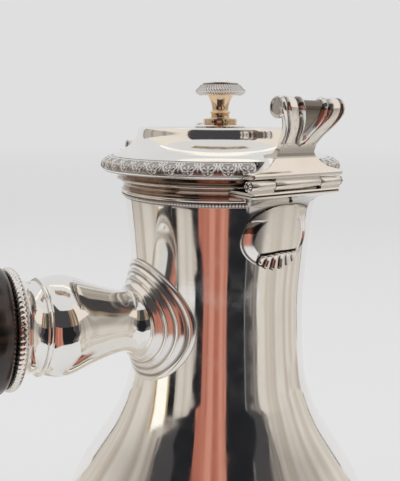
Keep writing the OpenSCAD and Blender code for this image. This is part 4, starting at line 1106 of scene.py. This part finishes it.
def cushion(x, z):
    """Height of the plaque above the neck at a place on its face."""
    dz = z - PLAQUE_Z
    place = np.hypot(x / PLAQUE_HALF, dz / PLAQUE_RISE)
    slope = np.clip((0.925 - place) / 0.225, 0, 1)
    pad = 0.30 + PAD_HIGH * (1 - (1 - slope) ** 1.15)
    rim = RIM_HIGH * line(place - 0.962, 0.040)
    height = np.where(place < 0.925, pad, np.maximum(0.2, rim))
    open_top = np.clip((dz / PLAQUE_RISE - 0.40) * 5, 0, 1) * (place < 0.999)
    height = height * (1 - open_top) + (0.30 + PAD_HIGH) * open_top
    height = np.where(place > 0.999, 0.0, height)
    shell, soft = shell_fingers(x, dz)
    return np.where(soft > 0, np.maximum(shell, 0.35 * height), height)


print("cushion: stands", round(float(cushion(0.0, PLAQUE_Z)), 2), "mm proud of the neck in its middle")

# %% Chase the cushion
PLAQUE_SPOKES = 260
TOP_STRETCH = 0.14
SUNK = -0.25
rings = np.concatenate([np.linspace(0, 0.88, 60), np.linspace(0.885, 1.0, 26), [1.03, 1.06, 1.09]])
spoke_angle = np.linspace(0, 2 * math.pi, PLAQUE_SPOKES, endpoint=False)
grid = []
for ring in rings:
    x = PLAQUE_HALF * ring * np.cos(spoke_angle)
    z = PLAQUE_Z + PLAQUE_RISE * ring * np.sin(spoke_angle)
    h = cushion(x, z)
    z = z + TOP_STRETCH * np.maximum(z - PLAQUE_Z, 0)
    h = np.where((ring > 1.0) & (h <= 0), SUNK, h)
    angle = np.arcsin(np.clip(x / (neck_radius(z) + 0.5), -1, 1))
    r = neck_radius(z) + h
    grid.append(np.stack([r * np.sin(angle), -r * np.cos(angle), z], 1))
points = np.vstack(grid)
raised = np.hypot(points[:, 0], points[:, 1]) - neck_radius(points[:, 2])
in_fingers = (points[:, 2] < PLAQUE_Z - 3.4) & (np.abs(points[:, 0]) < 7.4)
# Painted shade: the low places between the shell's fingers, the sunk ground round the rim and a low upper corner of
# the pad are painted dark.
painted_light = np.where(in_fingers, np.clip((raised - 0.85) / 0.45, 0, 1),
                       np.clip((raised - 0.1) / 0.15, 0, 1))
shaded_corner = (points[:, 0] < -2) & (points[:, 2] > PLAQUE_Z + 0.26 * PLAQUE_RISE) & (raised < 1.04)
painted_light = np.where(shaded_corner, 0.12, painted_light)
faces = skin((len(rings), PLAQUE_SPOKES), wrap_v=True)
piece("cushion_and_shell", points, faces, fluted_silver, "pot", ["hinge_plaque"], crease=70,
      lit_share=painted_light)
print("cushion:", 2 * PLAQUE_HALF, "by", 2 * PLAQUE_RISE, "mm")

# %% [markdown]
# ## The hinge plate and the thumbpiece
#
# On the lid side the hinge is a plate with a sharp lip, whose sides draw in towards a waist. From the waist a
# fan of sheet grows up and leans outward, and its top rolls back in. Two deep flutes divide the fan into three
# lobes, and the middle one carries a tongue with a hollow face. The thumb presses here to open the lid.

# %% File the hinge plate
WAIST_FROM = HINGE_Z + 7.5
plate_lip = drawn_from(HINGE_Y, HINGE_Z, [
    (-1.35, 1.8), (-1.62, 1.95), (-1.72, 2.4), (-1.62, 2.85), (-1.4, 3.15), (-1.1, 3.45)])
plate_slope = template(drawn_from(HINGE_Y, HINGE_Z, [(-0.8, 3.9), (-0.35, 5.0), (0, 6.1), (0.18, 6.7)]), 4)
plate_neck = template(drawn_from(HINGE_Y, HINGE_Z, [
    (0.28, 6.85), (0.4, 7.4), (0.4, 8.1), (0.2, 8.8), (-0.05, 9.4)]), 4)
plate_front = np.vstack([plate_lip, plate_slope, plate_neck])
plate_half = drawn_from(0, HINGE_Z, np.vstack([
    [(16.4, 1.8), (16.4, 3.05)],
    template([(16.1, 3.25), (13.5, 3.7), (11.0, 4.5), (9.0, 5.7), (7.5, 7.1), (6.6, 8.5), (6.3, 9.4)], 4)]))
rows = []
for front_y, z in plate_front:
    x = float(np.interp(z, plate_half[:, 1], plate_half[:, 0])) * ease
    front = np.stack([x, front_y + corner(0.4), np.full(CAST_STEPS, z)], 1)
    lid_r = SEAT_R if z < SHOULDER else float(np.interp(z, lid_outline[:, 1], lid_outline[:, 0]))
    against = -np.sqrt(np.maximum(lid_r ** 2 - x ** 2, 1))
    if z > WAIST_FROM:
        back_of_waist = HINGE_Y + np.interp(z - HINGE_Z, [7.5, 7.7, 8.0, 9.4], [4.8, 4.4, 2.3, 1.5])
        against = np.full(CAST_STEPS, float(back_of_waist))
    back = np.stack([x, np.maximum(against + 0.15, front_y + 0.6), np.full(CAST_STEPS, z)], 1)[::-1]
    rows.append(np.vstack([front, back]))
web = slab([(-8.0, HINGE_Y - 0.8), (8.0, HINGE_Y - 0.8), (8.0, HINGE_Y + 1.0), (-8.0, HINGE_Y + 1.0)],
           HINGE_Z + 0.1, HINGE_Z + 1.9, 0.05)
points, faces = join([casting(rows), knuckle(-8.2, 8.2), web])
# Painted shade: the plate is painted darker towards its waist, under the fan.
row_painted_light = np.interp(plate_front[:, 1] - HINGE_Z, [1.8, 6.7, 6.9, 9.4], [1.0, 1.0, 0.62, 0.45])
painted_light = np.ones(len(points))
painted_light[:len(rows) * 2 * CAST_STEPS] = np.repeat(row_painted_light, 2 * CAST_STEPS)
piece("hinge_plate_visible", points, faces, fluted_silver, "lid", ["hinge_plate"], crease=42,
      lit_share=painted_light)
print("hinge plate: lip", 2 * plate_half[0, 0], "mm wide, waist", round(2 * plate_half[-1, 0], 1), "mm")

# %% Draw the fan and its flutes
THUMB_LOW = HINGE_Z + 9.4
THUMB_TALL = 12.9
THUMB_HALF = 11.9
ROLL_R = 2.5
ROLL_Y, ROLL_Z = HINGE_Y - 4.4, THUMB_LOW + THUMB_TALL - ROLL_R
THUMB_COLUMNS = 161
lobes = np.linspace(-1, 1, THUMB_COLUMNS)
# place of the front face: distance from the hinge pin and height above the waist
fan_middle = template(drawn_from(HINGE_Y, 0, [(0.9, -0.6), (0.4, 0.5), (-0.4, 1.9), (-2.2, 4.0), (-4.1, 6.0),
                                              (-5.5, 8.0), (-6.1, 9.7), (-6.15, 10.4)]), 7)
# half width of the fan and height above the waist
fan_half = template([(6.3, -0.6), (6.35, 0.8), (6.7, 2.6), (7.7, 4.6), (9.5, 6.8), (11.1, 8.8), (11.8, 10.3),
                     (THUMB_HALF, 11.6), (THUMB_HALF, 13.2)], 5)


def flute_place(share):
    """Where the two flutes run, from the middle (0) to the side (1), at a share of the fan's height."""
    return np.interp(share, [0.08, 0.14, 0.24, 0.45, 0.7, 1.0], [0.0, 0.20, 0.30, 0.38, 0.46, 0.50])


def groove(side, place, width):
    """A soft groove or ridge: 1 on its line."""
    return np.exp(-((side - place) / width) ** 2)


def lobe_relief(u, share):
    """Relief of the fan: share runs from the waist (0) to the roll (1)."""
    flute_at = flute_place(share)
    rim_at = flute_at - 0.12
    side = np.abs(u)
    rim = groove(side, rim_at, 0.05) * np.clip((share - 0.1) * 10, 0, 1)
    hollow = np.where(side < rim_at, np.clip((rim_at - side) / 0.10, 0, 1), 0)
    hollow = hollow * np.clip((share - 0.18) * 9, 0, 1)
    outer = np.clip((side - flute_at) / (1.001 - flute_at), 0, 1)
    bulge = np.sin(outer * math.pi) ** 0.8
    relief = -0.80 * groove(side, flute_at, 0.055) + 0.42 * rim - 0.80 * hollow + 0.38 * bulge
    relief = relief + 0.22 * groove(side, 0.95, 0.04) - 0.45 * groove(side, 0.86, 0.035)
    return np.clip((share - 0.05) * 9, 0, 1) * relief


print("fan: deepest flute", round(-float(lobe_relief(lobes, 0.6).min()), 2), "mm")

# %% Raise the fan and roll its top
SHEET_HALF = 0.75
ROLL_STEPS = 40
ROLL_FROM, ROLL_TO = math.radians(172), math.radians(-140)
FAN_ROWS = len(fan_middle)
fan_share = np.maximum(fan_middle[:, 1], 0) / THUMB_TALL
fan_run = np.gradient(fan_middle, axis=0)
fan_run = fan_run / np.linalg.norm(fan_run, axis=1)[:, None]
front_rows, back_rows = [], []
for (mid_y, up), run, share in zip(fan_middle, fan_run, fan_share):
    x = float(np.interp(up, fan_half[:, 1], fan_half[:, 0])) * lobes
    relief = lobe_relief(lobes, share)
    for rows, lift in ((front_rows, SHEET_HALF + relief), (back_rows, -SHEET_HALF - 0.25 * relief)):
        rows.append(np.stack([x, mid_y - run[1] * lift, THUMB_LOW + up + run[0] * lift], 1))
roll_rows = []
for a in np.linspace(ROLL_FROM, ROLL_TO, ROLL_STEPS):
    r = ROLL_R + 0.75 * lobe_relief(lobes, 0.95)
    roll_rows.append(np.stack([THUMB_HALF * lobes, ROLL_Y + r * math.cos(a), ROLL_Z + r * math.sin(a)], 1))
surface = front_rows + roll_rows + back_rows[::-1]
points = np.vstack(surface)
faces = skin((len(surface), THUMB_COLUMNS), wrap_u=True)
print("fan:", len(points), "points")

# %% Close the ends of the fan and of the roll
EYE_RINGS = ((0.84, 0.0), (0.78, -0.25), (0.72, -0.3), (0.4, -0.3), (0.02, -0.3))


def at(row, column):
    """Number of a point of the fan."""
    return row * THUMB_COLUMNS + column


for column in (0, THUMB_COLUMNS - 1):
    for i in range(FAN_ROWS - 1):
        j = len(surface) - 1 - i
        faces.append((at(i, column), at(i + 1, column), at(j - 1, column), at(j, column)))
    rim_ring = [at(k, column) for k in range(FAN_ROWS, FAN_ROWS + ROLL_STEPS)]
    faces.append((rim_ring[0], at(FAN_ROWS - 1, column), at(FAN_ROWS + ROLL_STEPS, column), rim_ring[-1]))
    out = 1 if column else -1
    centre = np.array([0, ROLL_Y, ROLL_Z])
    edge = points[rim_ring]
    for shrink, push in EYE_RINGS:
        ring_points = centre + (edge - centre) * np.array([1, shrink, shrink])
        ring_points[:, 0] = edge[:, 0] + out * push
        new_ring = [len(points) + k for k in range(ROLL_STEPS)]
        points = np.vstack([points, ring_points])
        for k in range(ROLL_STEPS):
            m = (k + 1) % ROLL_STEPS
            faces.append((rim_ring[k], rim_ring[m], new_ring[m], new_ring[k]))
        rim_ring = new_ring
print("thumbpiece:", len(faces), "faces")

# %% Paint shade into the flutes and set the thumbpiece on its waist
FAN_NARROWER, FAN_ASIDE = 0.092, 1.1
ROLL_UP = 9.0
relief = np.concatenate([lobe_relief(lobes, share) for share in fan_share]
                        + [lobe_relief(lobes, 0.95)] * ROLL_STEPS + [np.ones(THUMB_COLUMNS)] * FAN_ROWS)
up = np.concatenate([np.repeat(fan_middle[:, 1], THUMB_COLUMNS),
                     np.full((ROLL_STEPS + FAN_ROWS) * THUMB_COLUMNS, ROLL_UP)])
share = np.clip(up, 0, THUMB_TALL) / THUMB_TALL
side = np.abs(np.resize(lobes, len(share)))
flute_at = flute_place(share)
# Painted shade: the two flutes, the groove near each side and the hollow of the tongue are painted dark, the fan
# darker towards its waist, and the closed ends of the roll half dark.
flute_shade = np.maximum(groove(side, flute_at, 0.072), 0.9 * groove(side, 0.87, 0.05))
in_hollow = np.clip((flute_at - 0.135 - side) / 0.03, 0, 1) * np.clip((share - 0.22) * 9, 0, 1)
flute_shade = np.maximum(flute_shade, in_hollow * np.interp(share, [0.2, 0.55, 0.85], [0.55, 0.75, 0.97]))
on_front = np.arange(len(share)) < (FAN_ROWS + ROLL_STEPS) * THUMB_COLUMNS
flute_shade = flute_shade * np.clip((share - 0.05) * 9, 0, 1) * on_front
painted_light = np.clip(1 + 0.4 * np.minimum(relief + 0.12, 0), 0.05, 1)
painted_light = painted_light * np.interp(up, [-0.6, 0.5, 1.6], [0.45, 0.6, 1.0]) * (1 - 0.95 * flute_shade)
painted_light = np.concatenate([painted_light, np.full(len(points) - len(painted_light), 0.55)])
spread = np.clip((points[:, 2] - THUMB_LOW) / (THUMB_TALL - 3), 0, 1)
points[:, 0] = points[:, 0] * (1 - FAN_NARROWER * spread) - FAN_ASIDE * spread
piece("fluted_thumbpiece", points, faces, fluted_silver, "lid", ["thumbpiece"], crease=60,
      lit_share=painted_light)
print("thumbpiece:", THUMB_TALL, "mm tall with two flutes and a rolled top")

# %% [markdown]
# ## The setting
#
# A pale floor and a soft, even light show silver best. Silver shows what stands around it, so curved cards
# stand round the pot as in a light tent: a salmon one in the middle, dark ones beside it, and linen ones
# all round. They draw the long stripes down the neck and the belly. Only the silver sees them, so they throw
# no shadow and don't hide the background. Each card is drawn by the directions of its two edges at some
# heights, because the edges of the stripes can be measured as directions from the pot.

# %% Lay the table
EYE = Vector((-102.4, -143.6, 181.5)) * MM
CAMERA_AZ = math.atan2(EYE.x, -EYE.y)
TABLE_HALF = 4


def stage_mesh(name, points, faces, mat, only_mirrored=True):
    """Adds a piece of the setting, in metres; most are seen only in the silver."""
    mesh = bpy.data.meshes.new(name)
    mesh.from_pydata([tuple(p) for p in points], [], faces)
    mesh.materials.append(mat)
    thing = bpy.data.objects.new(name, mesh)
    bpy.context.scene.collection.objects.link(thing)
    if only_mirrored:
        thing.visible_camera = False
        thing.visible_diffuse = False
        thing.visible_shadow = False
    return thing


floor_mat, table_shader, where = blank_finish("pale_table")
from_camera = (-0.25 * math.sin(CAMERA_AZ), 0.25 * math.cos(CAMERA_AZ), 0)
away = add_node(floor_mat, "VectorMath", {0: where, 1: from_camera})
away.operation = "DOT_PRODUCT"
# The table glows on top of the light it takes: a painted glow, a little brighter under the pot and far away than in
# between.
glow = colour_run(floor_mat, away.outputs["Value"], [
    (0.0175, (0.55, 0.55, 0.552)), (0.2, (0.503, 0.503, 0.505)), (1.0, (0.545, 0.545, 0.55))])
feed(floor_mat, table_shader, {"Base Color": (0.16, 0.16, 0.163, 1), "Roughness": 0.7,
                               "Emission Strength": 1.0, "Emission Color": glow})
table_corners = [(-TABLE_HALF, -TABLE_HALF, 0), (TABLE_HALF, -TABLE_HALF, 0), (TABLE_HALF, TABLE_HALF, 0),
                 (-TABLE_HALF, TABLE_HALF, 0)]
stage_mesh("table", table_corners, [(0, 1, 2, 3)], floor_mat, only_mirrored=False)
print("camera stands", round(math.degrees(CAMERA_AZ), 1), "degrees round from the front")

# %% Colours of the cards


def flat_colour(name, colour, strength=1.0):
    """A surface that glows evenly in one colour."""
    mat = bpy.data.materials.new(name)
    mat.use_nodes = True
    mat.node_tree.nodes.remove(mat.node_tree.nodes["Principled BSDF"])
    glow = add_node(mat, "Emission", {"Color": (*colour, 1), "Strength": strength})
    feed(mat, mat.node_tree.nodes["Material Output"], {"Surface": glow.outputs["Emission"]})
    return mat


def streaky(name, low, high, scale, dark_share, upper=1.0):
    """A softly streaked cloth, hung so that its folds run up and down; upper is its light higher up."""
    mat = flat_colour(name, high)
    where = add_node(mat, "TexCoord", {}).outputs["Object"]
    folds = noise(mat, where, (scale, scale, 0.9), 2)
    shade = colour_run(mat, folds, [(dark_share, low), (dark_share + 0.2, high)])
    height = add_node(mat, "SeparateXYZ", {"Vector": where}).outputs["Z"]
    strength = between(mat, height, 0.05, 0.12, 1.0, upper)
    feed(mat, mat.node_tree.nodes["Emission"], {"Color": shade, "Strength": strength})
    return mat


salmon = streaky("salmon_cloth", (0.42, 0.14, 0.10), (0.61, 0.275, 0.195), 30, 0.36)
black = flat_colour("black_cloth", (0.016, 0.017, 0.02))
charcoal = flat_colour("charcoal_cloth", (0.062, 0.06, 0.062))
brown = streaky("brown_cloth", (0.20, 0.13, 0.08), (0.50, 0.40, 0.30), 30, 0.40)
linen = streaky("linen_cloth", (0.50, 0.44, 0.38), (0.70, 0.655, 0.60), 17, 0.36, 0.70)
grey = streaky("grey_cloth", (0.15, 0.13, 0.12), (0.30, 0.27, 0.25), 60, 0.4)
cream = flat_colour("cream_panel", (0.84, 0.77, 0.69))
bright = flat_colour("bright_strip", (1.0, 0.97, 0.90), 1.1)
seam = flat_colour("seam", (0.16, 0.16, 0.16))
seam_light = flat_colour("seam_light", (0.45, 0.42, 0.40))
gilt = flat_colour("gilt_seam", (0.45, 0.33, 0.16))
print("card colours:", salmon.name, black.name, charcoal.name, brown.name, linen.name, grey.name, cream.name)

# %% Hang the cards
CARD_ROWS, CARD_COLUMNS = 60, 25
TOP_CARD = 0.195
CREAM_TOP = 0.60


def round_the_pot(distance, az_deg):
    """Place in plan at a distance and at an angle from the camera's direction."""
    az = CAMERA_AZ + math.radians(az_deg)
    return distance * math.sin(az), -distance * math.cos(az)


def card(name, distance, mat, *edges):
    """A tall card curved around the pot; each edge gives height, left and right angle from the camera."""
    edges = np.array(edges, float)
    points = []
    for z in np.linspace(edges[0, 0], edges[-1, 0], CARD_ROWS):
        left, right = np.interp(z, edges[:, 0], edges[:, 1]), np.interp(z, edges[:, 0], edges[:, 2])
        for angle in np.linspace(left, right, CARD_COLUMNS):
            points.append((*round_the_pot(distance, angle), z))
    return stage_mesh(name, points, skin((CARD_ROWS, CARD_COLUMNS)), mat)


card("salmon_card", 0.30, salmon, (0, -17.5, 11), (0.03, -17.5, 11), (0.045, -22.5, 10.6),
     (0.075, -22.5, 10.4), (0.11, -21.5, 9.8), (TOP_CARD, -21.7, 10))
card("black_card_left", 0.302, black, (0, -27, -15), (0.02, -29, -15), (0.028, -24, -15), (0.045, -29, -15),
     (0.075, -31, -15), (0.10, -40, -15), (0.114, -43, -15), (0.144, -39, -15), (TOP_CARD, -40, -15))
card("charcoal_card_left", 0.304, charcoal, (0.08, -30, -22), (0.10, -56, -30), (0.13, -59, -30),
     (TOP_CARD, -58, -30))
card("grey_card_left", 0.306, grey, (0.085, -34, -25), (0.10, -61, -50), (0.13, -63, -50),
     (TOP_CARD, -62, -50))
card("black_card_right", 0.302, black, (0, 8, 33.5), (0.05, 8, 33.5), (0.07, 8, 37), (0.09, 8, 42),
     (0.103, 8, 42), (0.138, 8, 36), (TOP_CARD, 8, 35))
card("charcoal_card_right", 0.304, charcoal, (0, 30, 36), (0.012, 30, 37), (0.018, 30, 43), (0.026, 30, 43),
     (0.032, 30, 37), (0.04, 30, 38), (0.055, 30, 45), (0.075, 30, 51), (0.10, 30, 55), (0.13, 30, 52),
     (TOP_CARD, 32, 51))
card("grey_card_right", 0.306, grey, (0, 30, 49), (0.05, 30, 51), (0.07, 30, 56), (0.10, 45, 60),
     (0.13, 40, 62), (TOP_CARD, 40, 62))
card("white_seam_low", 0.298, seam_light, (0, 33.3, 33.9), (0.05, 33.2, 33.8))
card("white_seam_high", 0.298, seam_light, (0.14, 35.6, 36.1), (TOP_CARD, 35, 35.5))
card("charcoal_top", 0.303, charcoal, (TOP_CARD, -43, 29), (0.47, -43, 29))
card("brown_top", 0.303, brown, (TOP_CARD, 29, 54), (0.47, 29, 54))
card("linen_left", 0.33, linen, (0, -124, -24), (0.30, -124, -24))
card("linen_right", 0.33, linen, (0, 32, 124), (0.30, 32, 124))
card("cream_left", 0.33, cream, (0.30, -112, -43), (CREAM_TOP, -112, -43))
card("cream_right", 0.328, cream, (0.235, 54, 116), (CREAM_TOP, 54, 116))
card("bright_strip_left", 0.31, bright, (0, -76, -60.5), (0.085, -72, -58))
card("gilt_seam_left", 0.312, gilt, (0, -79, -58), (0.085, -75, -56))
card("brown_seam_left", 0.314, black, (0, -60.5, -50), (0.085, -58, -48))
card("seam_left", 0.329, seam, (0, -125.6, -124), (0.30, -125.6, -124))
card("seam_right", 0.329, seam, (0, 124, 125.6), (0.30, 124, 125.6))
print("cards hung, the tallest up to", CREAM_TOP, "m")

# %% Lay mats and hang two cards over the pot
MAT_Z = 0.0004
MAT_REACHES = (0.09, 0.2, 0.33)
for side_name, from_deg, to_deg in (("linen_mat_left", -124, -54), ("linen_mat_right", 54, 124)):
    mat_points = []
    for reach in MAT_REACHES:
        for angle in np.linspace(from_deg, to_deg, CARD_COLUMNS):
            mat_points.append((*round_the_pot(reach, angle), MAT_Z))
    stage_mesh(side_name, mat_points, skin((len(MAT_REACHES), CARD_COLUMNS)), linen)


def ceiling_card(name, behind, across, deep, z, mat):
    """A flat card over the pot; behind is how far it lies on the far side."""
    points = []
    for s, t in ((-1, -1), (1, -1), (1, 1), (-1, 1)):
        x, y = s * across / 2, behind + t * deep / 2
        points.append((x * math.cos(CAMERA_AZ) - y * math.sin(CAMERA_AZ),
                       x * math.sin(CAMERA_AZ) + y * math.cos(CAMERA_AZ), z))
    return stage_mesh(name, points, [(0, 1, 2, 3)], mat)


ceiling_card("brown_ceiling_card", 0.02, 0.34, 0.12, 0.70, brown)
ceiling_card("bright_ceiling_card", 0.27, 0.9, 0.07, 0.75, bright)
print("mats and ceiling cards laid")

# %% Lamps and walls
LOOK_AT = Vector((0, 0, 0.09))


def lamp(name, az_deg, el_deg, distance, size, power):
    """A square soft lamp that looks at the middle of the pot; the silver doesn't mirror it."""
    data = bpy.data.lights.new(name, "AREA")
    data.size = size
    data.energy = power
    thing = bpy.data.objects.new(name, data)
    az, el = CAMERA_AZ + math.radians(az_deg), math.radians(el_deg)
    away = Vector((math.sin(az) * math.cos(el), -math.cos(az) * math.cos(el), math.sin(el)))
    thing.location = LOOK_AT + distance * away
    thing.rotation_euler = away.to_track_quat("Z", "Y").to_euler()
    bpy.context.scene.collection.objects.link(thing)
    thing.visible_camera = False
    thing.visible_glossy = False
    return thing


lamps = [lamp("window_left", -75, 35, 0.9, 0.45, 3.0), lamp("window_right", 75, 30, 0.9, 0.45, 2.0),
         lamp("ceiling", 0, 88, 1.0, 0.6, 3.5)]
world = bpy.data.worlds.new("studio")
bpy.context.scene.world = world
world.use_nodes = True
wall_light = world.node_tree.nodes["Background"]
wall_light.inputs["Color"].default_value = (0.737, 0.737, 0.745, 1)
wall_light.inputs["Strength"].default_value = 1.0
print("lamps:", [thing.name for thing in lamps])

# %% [markdown]
# ## The camera
#
# The camera looks down a little, from the side where the handle, the hinge and the cushion are all in sight.

# %% Place the camera
PITCH, YAW, ROLL = math.radians(12.36), math.radians(-2.01), math.radians(0.33)
PICTURE_WIDE, FOCAL_LENGTH = 400, 539.1
SENSOR = 36
cam_data = bpy.data.cameras.new("lesson_camera")
cam_data.sensor_fit = "HORIZONTAL"
cam_data.sensor_width = SENSOR
cam_data.lens = FOCAL_LENGTH * SENSOR / PICTURE_WIDE
cam_data.clip_start = 0.01
cam = bpy.data.objects.new("lesson_camera", cam_data)
bpy.context.scene.collection.objects.link(cam)
look_az = CAMERA_AZ - YAW
look = Vector((-math.sin(look_az) * math.cos(PITCH), math.cos(look_az) * math.cos(PITCH), -math.sin(PITCH)))
right = Vector((math.cos(look_az), math.sin(look_az), 0))
up = right.cross(look)
right_rolled = math.cos(ROLL) * right + math.sin(ROLL) * up
up_rolled = -math.sin(ROLL) * right + math.cos(ROLL) * up
turned = Matrix((right_rolled, up_rolled, -look)).transposed().to_4x4()
cam.matrix_world = Matrix.Translation(EYE) @ turned
bpy.context.scene.camera = cam
bpy.context.scene.view_settings.view_transform = "Standard"
print("camera at", [round(v * 1000, 1) for v in EYE], "mm")
